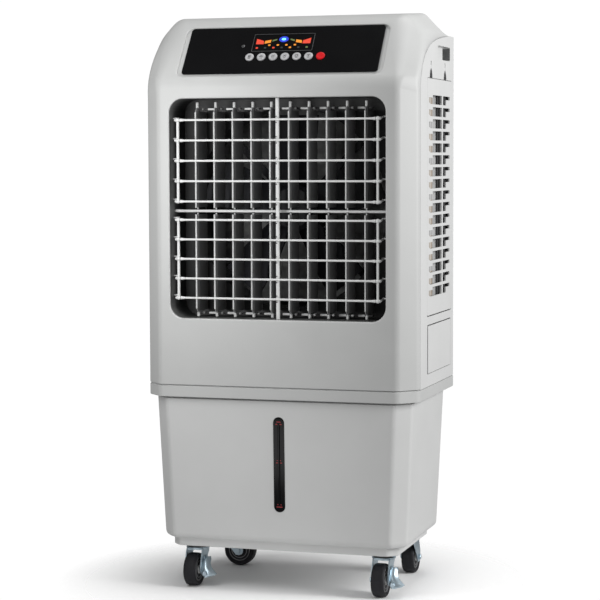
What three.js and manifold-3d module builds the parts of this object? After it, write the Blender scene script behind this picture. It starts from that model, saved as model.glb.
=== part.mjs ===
// Evaporative cooler on casters, in millimetres, +Z up.
// The origin is on the floor, below the middle of the casing. The air outlet faces -Y.
//
// Everything hangs in one group whose own zero is the front plane of the casing,
// so in the dimensions below y is the distance behind that plane.

import * as THREE from 'three';
import { mergeVertices } from 'three/addons/utils/BufferGeometryUtils.js';
import Module from 'manifold-3d';

const wasm = await Module();
wasm.setup();

// ---------------------------------------------------------------- driving dimensions

const WIDTH = 586;
const DEPTH = 372;
const SIDE = WIDTH / 2;
const WALL = 3;
const GAP = 0.4;

// Heights of the casing, from the floor up.
const PLINTH_BOTTOM = 90;
const TANK_BOTTOM = 107;
const RIM_BOTTOM = 410;
const SEAM = 435;
const SHOULDER = 1164;
const HOOD_BACK = 304;

// The front and rear corners of the casing in plan. A corner is a chamfer that starts and ends
// in a rounding, which takes this share of the corner's width.
const FRONT_CORNER = 45;
const REAR_CORNER = 28;
const ROUNDING = 0.18;

// The control panel lies on the slope between the front and the roof.
const SLOPE_FOOT = { y: 9, z: 1072 };
const SLOPE_HEAD = { y: 90, z: 1179 };
const PANEL = { width: 420, height: 122, corner: 7, thick: 2.5, floor: -4.5 };
const RECESS = { side: 10, below: 8, above: 2, depth: 4.5, window: 198 };
const BUTTON = { count: 7, radius: 9.2, pitch: 25.4, first: -68.4, upSlope: -19, stem: 5 };
const SLOPE_TILT = Math.atan2(SLOPE_HEAD.z - SLOPE_FOOT.z, SLOPE_HEAD.y - SLOPE_FOOT.y);
const PANEL_CENTRE = { y: 52.5, z: 1129.5 };

// The air outlet and everything in it.
const OUTLET = { half: 231.5, bottom: 575, top: 1029, corner: 30 };
const DUCT_FRONT = 3.6;
const DUCT_BACK = 100;
const VANE = { count: 10, pitch: 40.5, pivot: 39, front: 25, back: 95, link: 62, pin: 2 };
const VANE_SPLIT = 797;
const UPPER_BLADE = [803, 1011];
const LOWER_BLADE = [587, 790];
const CROSSBAR = { half: 3.5, front: 34, back: 44 };
const LINK = { bottom: 1013.5, top: 1017, half: 3.5, reach: 190 };
const BAR = { y: 7, deep: 4.5, tall: 5.5, half: 210, pivotBack: 20, pivotUp: 4, pin: 1.6 };
const BAR_GROUPS = [
  { name: 'upper', top: 985, pitch: 42 },
  { name: 'lower', top: 779, pitch: 40.5 },
];
const BARS_PER_GROUP = 5;
const RAIL = { inner: 211, outer: 217, deep: 6.5, eye: 4.2 };
const POST = { half: 4.5, front: 12, back: 18 };

// Fan, motor and shroud share one axis along Y.
const FAN = {
  axis: 802, ring: 210, tubeBack: 162, blades: 5, hub: 50, front: 112, back: 146, centre: 129, sides: 36,
};
const MOTOR = { radius: 56, front: 162.4, back: 236, shaft: 6, arms: 4, armBack: 168, armHalf: 7 };

// Cooling pads and the frames that hold them.
const PAD_BOTTOM = 590;
const PAD_TOP = 1060;
const FRAME_BOTTOM = 581;
const FRAME_TOP = 1068;
const FRAME_GAP = { below: 2.4, above: 1.4 };
const SIDE_FRAME = { front: 104, back: 322 };
const REAR_FRAME = 236;
const REAR_COLUMNS = [[-222, -79], [-70, 70], [79, 222]];
const SLOT = { rows: 17, pitch: 24.8, tall: 19, first: 619 };
// Slots of the side frames, as [y, height in the slot]. The front one has a lower front end,
// and the rear one a raised rear half.
const SIDE_SLOTS = [
  [[117, 4], [130, 0], [234, 0], [234, 19], [152, 19], [152, 13.5], [117, 13.5]],
  [[245, 0], [273, 0], [273, 11.5], [307, 11.5], [307, 19], [245, 19]],
];
const SIDE_PAD = { inner: 229, outer: 286, front: 110, back: 300 };
const REAR_PAD = { half: 227, front: 308, back: 364 };
const TRAY = {
  bottom: 1064, top: 1092, inner: 224, outer: 286, front: 110, back: 364, chamfer: 14, wall: 2.5,
};
const RISER = { x: 237, y: 311, radius: 7, bore: 4.8, bottom: 184 };
const PUMP = { x: [190, 250], y: [262, 318], z: [112, 178], stub: 4.2 };

// Openings in the side walls.
const DOOR = { front: 104, back: 318, bottom: 460, top: 562 };
const DOOR_HINGE = { x: SIDE - WALL / 2, z: 462.6 };
const HANDHOLD = { front: 195, step: 277, back: 310, bottom: 1110, top: 1139, shallow: 9, deep: 26 };
const LATCH_SLOTS = [136, 263];
const LATCH_BASE = FRAME_TOP + 0.2;

// The tank tapers a little towards its floor.
const TANK_TOP_RING = { half: 278, front: 13, back: 352, corner: 38 };
const TANK_LOW_RING = { half: 265, front: 21, back: 342, corner: 36 };
const PLINTH = { half: 246, front: 34, back: 322, corner: 24, wall: 6 };
const GAUGE = { half: 12, bottom: 174, top: 373, deep: 4 };

// Casters.
const WHEEL = { radius: 35, width: 28, bore: 5.4, sides: 20 };
const FORK = { leg: 2.5, gap: 16.2, crown: 75, top: 87, disc: 25, trail: 25, axle: 5 };
const CASTER_X = 205;
const CASTERS = [
  { name: 'front_left', x: -CASTER_X, y: 88, turn: 0, brake: true },
  { name: 'front_right', x: CASTER_X, y: 88, turn: 0, brake: true },
  { name: 'rear_left', x: -CASTER_X, y: 296, turn: 90, brake: false },
  { name: 'rear_right', x: CASTER_X, y: 296, turn: 180, brake: false },
];

// ---------------------------------------------------------------- materials

function finish(color, roughness, metalness = 0) {
  return { color, roughness, metalness };
}

const LIGHT_SHELL = finish(0xc6c7c6, 0.5);
const PALE_SHELL = finish(0xd2d3d2, 0.5);
const TANK_SHELL = finish(0xbebfbe, 0.52);
const GLOSS_BLACK = finish(0x0b0b0c, 0.12);
const DARK_PLASTIC = finish(0x2b2c2e, 0.6);
const VANE_PLASTIC = finish(0x4a4b4d, 0.5);
const WHITE_PLASTIC = finish(0xdcdddc, 0.45);
const PAD_FIBRE = finish(0xb59b76, 0.9);
const ZINC = finish(0xb9c6cf, 0.3, 0.9);
const RUBBER = finish(0x18181a, 0.75);
const SILVER_KEY = finish(0xb4b6b8, 0.35, 0.3);
const RED_KEY = finish(0xd81e24, 0.35);

// ---------------------------------------------------------------- solids and cuts

// Turns a closed geometry into a solid that can be joined and cut.
function toSolid(geometry) {
  const bare = geometry.clone();
  bare.deleteAttribute('normal');
  bare.deleteAttribute('uv');
  const merged = mergeVertices(bare, 1e-4);
  return new wasm.Manifold(new wasm.Mesh({
    numProp: 3,
    vertProperties: new Float32Array(merged.attributes.position.array),
    triVerts: new Uint32Array(merged.index.array),
  }));
}

function toGeometry(solid) {
  const { vertProperties, triVerts } = solid.getMesh();
  const geometry = new THREE.BufferGeometry();
  geometry.setAttribute('position', new THREE.BufferAttribute(vertProperties, 3));
  geometry.setIndex(new THREE.BufferAttribute(triVerts, 1));
  geometry.computeVertexNormals();
  return geometry;
}

function join(...pieces) {
  return toGeometry(pieces.map(toSolid).reduce((whole, piece) => whole.add(piece)));
}

function cut(piece, ...tools) {
  return toGeometry(tools.map(toSolid).reduce((whole, tool) => whole.subtract(tool), toSolid(piece)));
}

function common(a, b) {
  return toGeometry(toSolid(a).intersect(toSolid(b)));
}

// ---------------------------------------------------------------- basic shapes

function block([x0, x1], [y0, y1], [z0, z1]) {
  const box = new THREE.BoxGeometry(x1 - x0, y1 - y0, z1 - z0);
  return box.translate((x0 + x1) / 2, (y0 + y1) / 2, (z0 + z1) / 2);
}

function rectangle([u0, u1], [v0, v1], corner = 0) {
  const outline = new THREE.Shape();
  if (corner === 0) {
    outline.moveTo(u0, v0).lineTo(u1, v0).lineTo(u1, v1).lineTo(u0, v1);
    return outline;
  }
  outline.absarc(u1 - corner, v0 + corner, corner, -Math.PI / 2, 0);
  outline.absarc(u1 - corner, v1 - corner, corner, 0, Math.PI / 2);
  outline.absarc(u0 + corner, v1 - corner, corner, Math.PI / 2, Math.PI);
  outline.absarc(u0 + corner, v0 + corner, corner, Math.PI, 1.5 * Math.PI);
  return outline;
}

function polygon(points) {
  return new THREE.Shape(points.map(([u, v]) => new THREE.Vector2(u, v)));
}

// Extrusions of an outline drawn in (y, z), (x, z) and (x, y).
function alongX(outline, [from, to], curveSegments = 4) {
  const prism = new THREE.ExtrudeGeometry(outline, { depth: to - from, bevelEnabled: false, curveSegments });
  const turn = new THREE.Matrix4().makeBasis(
    new THREE.Vector3(0, 1, 0),
    new THREE.Vector3(0, 0, 1),
    new THREE.Vector3(1, 0, 0),
  );
  return prism.applyMatrix4(turn).translate(from, 0, 0);
}

function alongY(outline, [from, to], curveSegments = 4) {
  const prism = new THREE.ExtrudeGeometry(outline, { depth: to - from, bevelEnabled: false, curveSegments });
  return prism.rotateX(Math.PI / 2).translate(0, to, 0);
}

function alongZ(outline, [from, to], curveSegments = 4) {
  const prism = new THREE.ExtrudeGeometry(outline, { depth: to - from, bevelEnabled: false, curveSegments });
  return prism.translate(0, 0, from);
}

// A round bar between two points.
function rod(from, to, radius, sides = 6) {
  const start = new THREE.Vector3(...from);
  const end = new THREE.Vector3(...to);
  const along = end.clone().sub(start);
  const bar = new THREE.CylinderGeometry(radius, radius, along.length(), sides);
  const turn = new THREE.Quaternion().setFromUnitVectors(new THREE.Vector3(0, 1, 0), along.normalize());
  return bar.applyQuaternion(turn).translate(...start.add(end).multiplyScalar(0.5).toArray());
}

// A turned part about +Y: the profile is a closed list of [radius, y].
function turned(profile, sides) {
  const closed = [...profile, profile[0]];
  return new THREE.LatheGeometry(closed.map(([r, y]) => new THREE.Vector2(r, y)), sides);
}

// Skins a closed surface over rings of equal length. The end rings are convex, and are closed by a fan.
function skin(rings) {
  const corners = rings.flat();
  const ringSize = rings[0].length;
  const faces = [];
  for (let ring = 0; ring + 1 < rings.length; ring += 1) {
    for (let side = 0; side < ringSize; side += 1) {
      const a = ring * ringSize + side;
      const b = ring * ringSize + (side + 1) % ringSize;
      faces.push([a, b, b + ringSize], [a, b + ringSize, a + ringSize]);
    }
  }
  const last = (rings.length - 1) * ringSize;
  const hubs = [middle(rings[0]), middle(rings.at(-1))];
  const firstHub = corners.push(...hubs) - 2;
  for (let side = 0; side < ringSize; side += 1) {
    const next = (side + 1) % ringSize;
    faces.push([firstHub, next, side]);
    faces.push([firstHub + 1, last + side, last + next]);
  }
  return surface(corners, faces);
}

function middle(points) {
  const sum = points.reduce((total, point) => total.add(point), new THREE.Vector3());
  return sum.divideScalar(points.length);
}

function surface(corners, faces) {
  const geometry = new THREE.BufferGeometry();
  geometry.setAttribute('position', new THREE.Float32BufferAttribute(corners.flatMap((p) => p.toArray()), 3));
  geometry.setIndex(faces.flat());
  return geometry;
}

// A corner of unit size, from the side wall at (0, 0) to the wall across it at (1, 1).
function cornerSection() {
  const blend = ROUNDING * Math.SQRT1_2;
  const section = new THREE.Path();
  section.moveTo(0, 0).quadraticCurveTo(0, ROUNDING, blend, ROUNDING + blend);
  section.lineTo(1 - ROUNDING - blend, 1 - blend);
  section.quadraticCurveTo(1 - ROUNDING, 1, 1, 1);
  return matchedPoints(section, [2, 1, 2]);
}

// A level ring with chamfered corners, counter-clockwise seen from above.
function ringAt({ half, front, back, corner, rear = corner }, z) {
  const along = cornerSection();
  const across = along.toReversed();
  const point = (x, y) => new THREE.Vector3(x, y, z);
  return [
    ...across.map((p) => point(half - corner * p.x, front + corner * (1 - p.y))),
    ...along.map((p) => point(half - rear * p.x, back - rear * (1 - p.y))),
    ...across.map((p) => point(-half + rear * p.x, back - rear * (1 - p.y))),
    ...along.map((p) => point(-half + corner * p.x, front + corner * (1 - p.y))),
  ];
}

function shrunk({ half, front, back, corner, rear = corner }, by) {
  return { half: half - by, front: front + by, back: back - by, corner: corner - by, rear: rear - by };
}

// Points along a path, with its own number of steps for each of its curves.
function matchedPoints(path, steps) {
  const points = [path.curves[0].getPoint(0)];
  path.curves.forEach((curve, index) => {
    for (let step = 1; step <= steps[index]; step += 1) {
      points.push(curve.getPoint(step / steps[index]));
    }
  });
  return points;
}

// ---------------------------------------------------------------- the scene graph

const cooler = new THREE.Group();
const casing = new THREE.Group();
casing.position.y = -DEPTH / 2;
cooler.add(casing);

function place(name, geometry, look, parent = casing) {
  const mesh = new THREE.Mesh(geometry, new THREE.MeshStandardMaterial(look));
  mesh.name = name;
  parent.add(mesh);
  return mesh;
}

// ---------------------------------------------------------------- hood outline

// The casing's side view has two matched curves: the edge of the flat side wall, and the crown
// that the front, the slope, the roof and its fall at the back follow in the middle of the hood.
function crownCurve() {
  const crown = new THREE.Path();
  crown.moveTo(0, SEAM).lineTo(0, 1045);
  crown.quadraticCurveTo(0, 1060, SLOPE_FOOT.y, SLOPE_FOOT.z);
  crown.lineTo(SLOPE_HEAD.y, SLOPE_HEAD.z);
  crown.quadraticCurveTo(105, 1198, 124, 1201);
  crown.lineTo(228, 1208.4);
  crown.quadraticCurveTo(238, 1210, 247, 1204);
  crown.lineTo(HOOD_BACK, SHOULDER);
  return crown;
}

function sideCurve() {
  const edge = new THREE.Path();
  edge.moveTo(FRONT_CORNER, SEAM).lineTo(FRONT_CORNER, 1030);
  edge.quadraticCurveTo(44, 1050, 50, 1068);
  edge.quadraticCurveTo(62, 1108, 112, 1130);
  edge.quadraticCurveTo(130, 1138, 150, 1143);
  edge.quadraticCurveTo(190, 1153, 232, 1157);
  edge.lineTo(250, 1159);
  edge.lineTo(HOOD_BACK, SHOULDER);
  return edge;
}

const CURVE_STEPS = [1, 3, 3, 3, 2, 3, 2];

// The corner widens up the slope, and narrows again over the roof.
const FOOT_STATION = 4;
const HEAD_STATION = 7;
const ROOF_STATION = 12;
const HEAD_CORNER = 68;

function cornerWidth(station) {
  const up = (station - FOOT_STATION) / (HEAD_STATION - FOOT_STATION);
  const down = (ROOF_STATION - station) / (ROOF_STATION - HEAD_STATION);
  const grown = Math.max(Math.min(up, down), 0);
  return FRONT_CORNER + (HEAD_CORNER - FRONT_CORNER) * grown;
}

const SIDE_EDGE = matchedPoints(sideCurve(), CURVE_STEPS);
const CROWN = matchedPoints(crownCurve(), CURVE_STEPS);

// The solid hood: each station runs from one side wall over the corner's section to the crown,
// across, and down to the other wall.
function solidHood() {
  const ribbon = SIDE_EDGE.map((edge, station) => {
    const right = cornerSection().map((p) => new THREE.Vector3(
      SIDE - cornerWidth(station) * p.x,
      edge.x + (CROWN[station].x - edge.x) * p.y,
      edge.y + (CROWN[station].y - edge.y) * p.y,
    ));
    const left = right.map((p) => new THREE.Vector3(-p.x, p.y, p.z)).reverse();
    return [...right, ...left];
  });
  const pieces = [];
  for (let station = 0; station + 1 < ribbon.length; station += 1) {
    for (let step = 0; step + 1 < ribbon[0].length; step += 1) {
      const [a, b] = [ribbon[station][step], ribbon[station][step + 1]];
      const [c, d] = [ribbon[station + 1][step + 1], ribbon[station + 1][step]];
      pieces.push(a, c, b, a, d, c);
    }
  }
  const leftCorner = new THREE.Vector3(-SIDE, HOOD_BACK, SEAM);
  const rightCorner = new THREE.Vector3(SIDE, HOOD_BACK, SEAM);
  const rightEdge = ribbon.map((station) => station[0]);
  const leftEdge = ribbon.map((station) => station.at(-1));
  addFan(pieces, [...ribbon[0], leftCorner, rightCorner]);
  addFan(pieces, [...ribbon.at(-1).toReversed(), rightCorner, leftCorner]);
  addFan(pieces, [...rightEdge.toReversed(), rightCorner]);
  addFan(pieces, [...leftEdge, leftCorner]);
  return surface(pieces, pieces.map((point, index) => index));
}

function addFan(pieces, loop) {
  const hub = middle(loop);
  loop.forEach((point, index) => pieces.push(hub, point, loop[(index + 1) % loop.length]));
}

// The flat part of a side wall, pulled in by a clearance from the edge of the hood.
function sideRegion(clearance) {
  const edge = SIDE_EDGE.map(({ x, y }) => [x + clearance, y - clearance]);
  const rear = DEPTH + 10;
  return polygon([...edge, [rear, SHOULDER - clearance], [rear, SEAM - 10], [edge[0][0], SEAM - 10]]);
}

// ---------------------------------------------------------------- control panel group

const console3d = new THREE.Group();
console3d.position.set(0, PANEL_CENTRE.y, PANEL_CENTRE.z);
console3d.rotation.x = SLOPE_TILT;
casing.add(console3d);
console3d.updateMatrix();

function panelOutline(grow) {
  const half = PANEL.width / 2 + grow;
  const tall = PANEL.height / 2 + grow;
  return rectangle([-half, half], [-tall, tall], PANEL.corner + grow);
}

function recessOutline(grow) {
  const half = PANEL.width / 2 + RECESS.side + grow;
  const low = -PANEL.height / 2 - RECESS.below - grow;
  const high = PANEL.height / 2 + RECESS.above + grow;
  return rectangle([-half, half], [low, high], PANEL.corner + RECESS.side + grow);
}

const onSlope = (geometry) => geometry.applyMatrix4(console3d.matrix);

function makeControlPanel() {
  const bottom = PANEL.floor + GAP;
  let panel = alongZ(panelOutline(0), [bottom, bottom + PANEL.thick]);
  for (let index = 0; index < BUTTON.count; index += 1) {
    const x = BUTTON.first + index * BUTTON.pitch;
    const hole = rod([x, BUTTON.upSlope, -20], [x, BUTTON.upSlope, 20], BUTTON.radius + GAP, 16);
    panel = cut(panel, hole);
  }
  place('control_panel', panel, GLOSS_BLACK, console3d);
}

function makeButtons() {
  for (let index = 0; index < BUTTON.count; index += 1) {
    const face = PANEL.floor + GAP + PANEL.thick;
    const cap = turned([
      [0, face - BUTTON.stem],
      [BUTTON.radius, face - BUTTON.stem],
      [BUTTON.radius, face + 1.4],
      [BUTTON.radius * 0.86, face + 2.2],
      [0, face + 2.6],
      ], 16);
    cap.rotateX(Math.PI / 2);
    cap.translate(BUTTON.first + index * BUTTON.pitch, BUTTON.upSlope, 0);
    const last = index === BUTTON.count - 1;
    place(last ? 'power_button' : `button_${index + 1}`, cap, last ? RED_KEY : SILVER_KEY, console3d);
  }
}

// ---------------------------------------------------------------- casing

function makeFrontHousing() {
  const outer = solidHood();
  const inner = outer.clone()
    .translate(0, -HOOD_BACK, -SEAM)
    .scale((SIDE - WALL) / SIDE, (HOOD_BACK - WALL) / HOOD_BACK, 1 - WALL / (SHOULDER + 45 - SEAM))
    .translate(0, HOOD_BACK, SEAM);
  const region = sideRegion(0);
  const trayBack = -RECESS.depth - WALL;
  const shell = cut(
    outer,
    inner,
    alongX(region, [SIDE - WALL - GAP, SIDE + 10]),
    alongX(region, [-SIDE - 10, -SIDE + WALL + GAP]),
    alongY(rectangle([-OUTLET.half, OUTLET.half], [OUTLET.bottom, OUTLET.top], OUTLET.corner), [-10, 20]),
  );
  const housing = cut(
    join(shell, onSlope(alongZ(recessOutline(WALL), [trayBack, -0.7]))),
    onSlope(alongZ(recessOutline(0), [-RECESS.depth, 30])),
    onSlope(block([-RECESS.window, RECESS.window], [-50, 50], [-30, 0])),
  );
  place('front_housing', housing, LIGHT_SHELL);
}

// A slot for a latch of the pad frame: wide where it opens into the frame's top edge, with a neck above.
function bottleSlot(y) {
  const slot = new THREE.Shape();
  slot.moveTo(y - 12, LATCH_BASE).lineTo(y + 12, LATCH_BASE).lineTo(y + 12, LATCH_BASE + 5);
  slot.quadraticCurveTo(y + 9, LATCH_BASE + 16, y + 3, LATCH_BASE + 20);
  slot.lineTo(y + 3, LATCH_BASE + 36).lineTo(y - 3, LATCH_BASE + 36).lineTo(y - 3, LATCH_BASE + 20);
  slot.quadraticCurveTo(y - 9, LATCH_BASE + 16, y - 12, LATCH_BASE + 5);
  return slot;
}

function makeRearHousing() {
  const outerPlan = { half: SIDE, front: -60, back: DEPTH, corner: REAR_CORNER };
  const outer = skin([ringAt(outerPlan, SEAM), ringAt(outerPlan, SHOULDER)]);
  const innerPlan = shrunk(outerPlan, WALL);
  const inner = skin([ringAt(innerPlan, SEAM - 5), ringAt(innerPlan, SHOULDER - WALL)]);
  const within = alongX(sideRegion(GAP), [-SIDE - 5, SIDE + 5]);
  const topOfWall = [SHOULDER - 2 * WALL, SHOULDER + 10];
  const underHood = block([-SIDE + WALL, SIDE - WALL], [0, HOOD_BACK + GAP], topOfWall);
  let shell = cut(common(cut(outer, inner), within), underHood);
  const both = [1, -1];
  const { front, step, back, bottom, top, shallow, deep } = HANDHOLD;
  const inward = (side, from, to) => (side > 0 ? [SIDE - to, SIDE - from] : [from - SIDE, to - SIDE]);
  for (const side of both) {
    const cupHeight = [bottom - WALL, top + WALL];
    const cup = block(inward(side, 1, shallow + WALL), [front - WALL, back + WALL], cupHeight);
    const pocket = block(inward(side, 1, deep + WALL), [step - WALL, back + WALL], cupHeight);
    shell = join(shell, cup, pocket);
  }
  const pads = [SIDE_FRAME.front - GAP, SIDE_FRAME.back + GAP];
  const heights = [FRAME_BOTTOM - FRAME_GAP.below, FRAME_TOP + FRAME_GAP.above];
  const tools = [alongX(rectangle(pads, heights, 4), [-SIDE - 5, SIDE + 5], 2)];
  tools.push(alongY(rectangle([-REAR_FRAME - GAP, REAR_FRAME + GAP], heights, 4), [DEPTH - 8, DEPTH + 5], 2));
  tools.push(alongX(rectangle([DOOR.front, DOOR.back], [DOOR.bottom, DOOR.top], 3), [SIDE - 8, SIDE + 5], 2));
  for (const side of both) {
    tools.push(alongX(rectangle([front, back], [bottom, top], 5), inward(side, -5, shallow), 3));
    tools.push(alongX(rectangle([step, back], [bottom, top], 5), inward(side, -5, deep), 3));
    for (const y of LATCH_SLOTS) {
      tools.push(alongX(bottleSlot(y), inward(side, -5, 6), 2));
    }
  }
  place('rear_housing', cut(shell, ...tools), PALE_SHELL);
}

function makeTank() {
  const rimPlan = { half: SIDE, front: 0, back: DEPTH, corner: FRONT_CORNER, rear: REAR_CORNER };
  const rim = skin([ringAt(rimPlan, RIM_BOTTOM), ringAt(rimPlan, SEAM - GAP)]);
  const inRim = shrunk(rimPlan, WALL);
  const rimInside = skin([ringAt(inRim, RIM_BOTTOM + WALL), ringAt(inRim, SEAM + 5)]);
  const bath = skin([
    ringAt(shrunk(TANK_LOW_RING, 9), TANK_BOTTOM),
    ringAt(shrunk(TANK_LOW_RING, 2.5), TANK_BOTTOM + 3),
    ringAt(TANK_LOW_RING, TANK_BOTTOM + 10),
    ringAt(TANK_TOP_RING, RIM_BOTTOM + 1),
  ]);
  const bathInside = skin([
    ringAt(shrunk(TANK_LOW_RING, WALL + 5), TANK_BOTTOM + WALL),
    ringAt(shrunk(TANK_LOW_RING, WALL), TANK_BOTTOM + 12),
    ringAt(shrunk(TANK_TOP_RING, WALL), SEAM + 5),
  ]);
  const plinthInside = shrunk(PLINTH, PLINTH.wall);
  const plinth = cut(
    skin([ringAt(PLINTH, PLINTH_BOTTOM), ringAt(PLINTH, TANK_BOTTOM + 1)]),
    skin([ringAt(plinthInside, PLINTH_BOTTOM - 5), ringAt(plinthInside, TANK_BOTTOM + 5)]),
  );
  const pads = CASTERS.map(({ x, y }) => {
    return block([x - 34, x + 34], [y - 30, y + 30], [FORK.top + GAP, TANK_BOTTOM + 1]);
  });
  const slotHalf = GAUGE.half + GAP;
  const slot = rectangle([-slotHalf, slotHalf], [GAUGE.bottom - GAP, GAUGE.top + GAP], slotHalf - 0.01);
  const shell = cut(join(cut(rim, rimInside), bath, plinth, ...pads), bathInside, alongY(slot, [0, 50]));
  place('water_tank', shell, TANK_SHELL);
}

function makeGauge() {
  const fall = Math.atan2(TANK_LOW_RING.front - TANK_TOP_RING.front, RIM_BOTTOM - TANK_BOTTOM);
  const half = (GAUGE.top - GAUGE.bottom) / 2;
  const outline = rectangle([-GAUGE.half, GAUGE.half], [-half, half], GAUGE.half - 0.01);
  const lens = alongY(outline, [-0.6, GAUGE.deep]);
  const gauge = place('level_window', lens, GLOSS_BLACK);
  const middleHeight = (GAUGE.top + GAUGE.bottom) / 2;
  const front = TANK_TOP_RING.front + (RIM_BOTTOM - middleHeight) * Math.tan(fall);
  gauge.position.set(0, front, middleHeight);
  gauge.rotation.x = fall;
}

// ---------------------------------------------------------------- air outlet

const vaneX = (index) => (index - (VANE.count - 1) / 2) * VANE.pitch;

function makeShroud() {
  const outletShape = (grow) => rectangle(
    [-OUTLET.half - grow, OUTLET.half + grow],
    [OUTLET.bottom - grow, OUTLET.top + grow],
    OUTLET.corner + grow,
  );
  const duct = cut(
    join(
      alongY(outletShape(WALL), [DUCT_FRONT, DUCT_BACK]),
      alongY(rectangle([-262, 262], [548, 1052], 12), [DUCT_BACK - WALL, DUCT_BACK], 2),
    ),
    alongY(outletShape(0), [0, DUCT_BACK - WALL]),
    rod([0, 90, FAN.axis], [0, 110, FAN.axis], FAN.ring, FAN.sides),
  );
  const tube = turned([
    [FAN.ring, DUCT_BACK - WALL],
    [FAN.ring + WALL, DUCT_BACK - WALL],
    [FAN.ring + WALL, FAN.tubeBack],
    [FAN.ring, FAN.tubeBack],
  ], FAN.sides).translate(0, 0, FAN.axis);
  const holes = [];
  for (let index = 0; index < VANE.count; index += 1) {
    const x = vaneX(index);
    holes.push(rod([x, VANE.pivot, OUTLET.bottom - 10], [x, VANE.pivot, OUTLET.top + 10], VANE.pin + GAP));
  }
  for (const group of BAR_GROUPS) {
    for (let row = 0; row < BARS_PER_GROUP; row += 1) {
      const z = group.top - row * group.pitch + BAR.pivotUp;
      const y = BAR.y + BAR.pivotBack;
      holes.push(rod([-OUTLET.half - 10, y, z], [OUTLET.half + 10, y, z], BAR.pin + GAP));
    }
  }
  place('fan_shroud', cut(join(duct, tube), ...holes), DARK_PLASTIC);
}

function makeLouvreFrame() {
  const postHeight = [OUTLET.bottom + GAP, OUTLET.top - GAP];
  const post = block([-POST.half, POST.half], [POST.front, POST.back], postHeight);
  const height = [VANE_SPLIT - CROSSBAR.half, VANE_SPLIT + CROSSBAR.half];
  const reach = OUTLET.half - GAP;
  const crossbar = block([-reach, reach], [CROSSBAR.front, CROSSBAR.back], height);
  const bridge = block([-POST.half, POST.half], [POST.back - 1, CROSSBAR.front + 1], height);
  const holes = [];
  for (let index = 0; index < VANE.count; index += 1) {
    const x = vaneX(index);
    holes.push(rod([x, VANE.pivot, height[0] - 5], [x, VANE.pivot, height[1] + 5], VANE.pin + GAP));
  }
  place('louvre_frame', cut(join(post, crossbar, bridge), ...holes), WHITE_PLASTIC);
}

// One vertical vane is an upper and a lower blade on one spindle, drawn about the spindle.
function makeVanes() {
  const blade = polygon([
    [-1, VANE.front - VANE.pivot],
    [1, VANE.front - VANE.pivot],
    [1.6, 0],
    [0.8, VANE.back - VANE.pivot],
    [-0.8, VANE.back - VANE.pivot],
    [-1.6, 0],
  ]);
  const link = VANE.link - VANE.pivot;
  for (let index = 0; index < VANE.count; index += 1) {
    const vane = join(
      alongZ(blade, UPPER_BLADE),
      alongZ(blade, LOWER_BLADE),
      rod([0, 0, OUTLET.bottom - WALL], [0, 0, OUTLET.top + WALL], VANE.pin),
      rod([0, link, UPPER_BLADE[1] - 4], [0, link, LINK.top + 2], BAR.pin),
      rod([0, link, LOWER_BLADE[0] - 8], [0, link, LOWER_BLADE[0] + 4], BAR.pin),
    );
    const mesh = place(`vane_${String(index + 1).padStart(2, '0')}`, vane, VANE_PLASTIC);
    mesh.position.set(vaneX(index), VANE.pivot, 0);
  }
}

function makeVaneLink() {
  const depths = [VANE.link - LINK.half, VANE.link + LINK.half];
  const bar = block([-LINK.reach, LINK.reach], depths, [LINK.bottom, LINK.top]);
  const eyes = [];
  for (let index = 0; index < VANE.count; index += 1) {
    const x = vaneX(index);
    eyes.push(rod([x, VANE.link, LINK.bottom - 5], [x, VANE.link, LINK.top + 5], BAR.pin + GAP));
  }
  place('vane_link', cut(bar, ...eyes), WHITE_PLASTIC);
}

// A guide bar turns on two pins in the sides of the outlet. Its ends pass through the eyes
// of the two rails that keep the five bars of a group parallel.
function guideBar() {
  const pivot = [BAR.pivotBack, BAR.pivotUp];
  const arm = polygon([
    [-2.4, -2.6],
    [pivot[0] + 2.6, pivot[1] - 2.6],
    [pivot[0] + 2.6, pivot[1] + 2.6],
    [-2.4, 2.6],
  ]);
  const pieces = [block([-BAR.half, BAR.half], [-BAR.deep / 2, BAR.deep / 2], [-BAR.tall / 2, BAR.tall / 2])];
  for (const side of [1, -1]) {
    const outer = RAIL.outer + 1;
    const armSpan = side > 0 ? [outer, outer + 4] : [-outer - 4, -outer];
    pieces.push(rod([side * (BAR.half - 2), 0, 0], [side * (outer + 2), 0, 0], BAR.pin));
    pieces.push(alongX(arm, armSpan));
    pieces.push(rod([side * (outer + 2), ...pivot], [side * (OUTLET.half + 2), ...pivot], BAR.pin));
  }
  return join(...pieces);
}

function railBar(pitch) {
  const length = pitch * (BARS_PER_GROUP - 1);
  let rail = block([RAIL.inner, RAIL.outer], [-RAIL.deep / 2, RAIL.deep / 2], [-length - RAIL.eye, RAIL.eye]);
  for (let row = 0; row < BARS_PER_GROUP; row += 1) {
    const z = -row * pitch;
    rail = cut(rail, rod([RAIL.inner - 5, 0, z], [RAIL.outer + 5, 0, z], BAR.pin + GAP));
  }
  return rail;
}

function makeGuideBars() {
  for (const group of BAR_GROUPS) {
    for (let row = 0; row < BARS_PER_GROUP; row += 1) {
      const bar = place(`${group.name}_bar_${row + 1}`, guideBar(), WHITE_PLASTIC);
      bar.position.set(0, BAR.y, group.top - row * group.pitch);
    }
    const right = place(`${group.name}_rail_right`, railBar(group.pitch), WHITE_PLASTIC);
    right.position.set(0, BAR.y, group.top);
    const left = place(`${group.name}_rail_left`, railBar(group.pitch), WHITE_PLASTIC);
    left.position.set(-RAIL.inner - RAIL.outer, BAR.y, group.top);
  }
}

// ---------------------------------------------------------------- fan and motor

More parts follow.
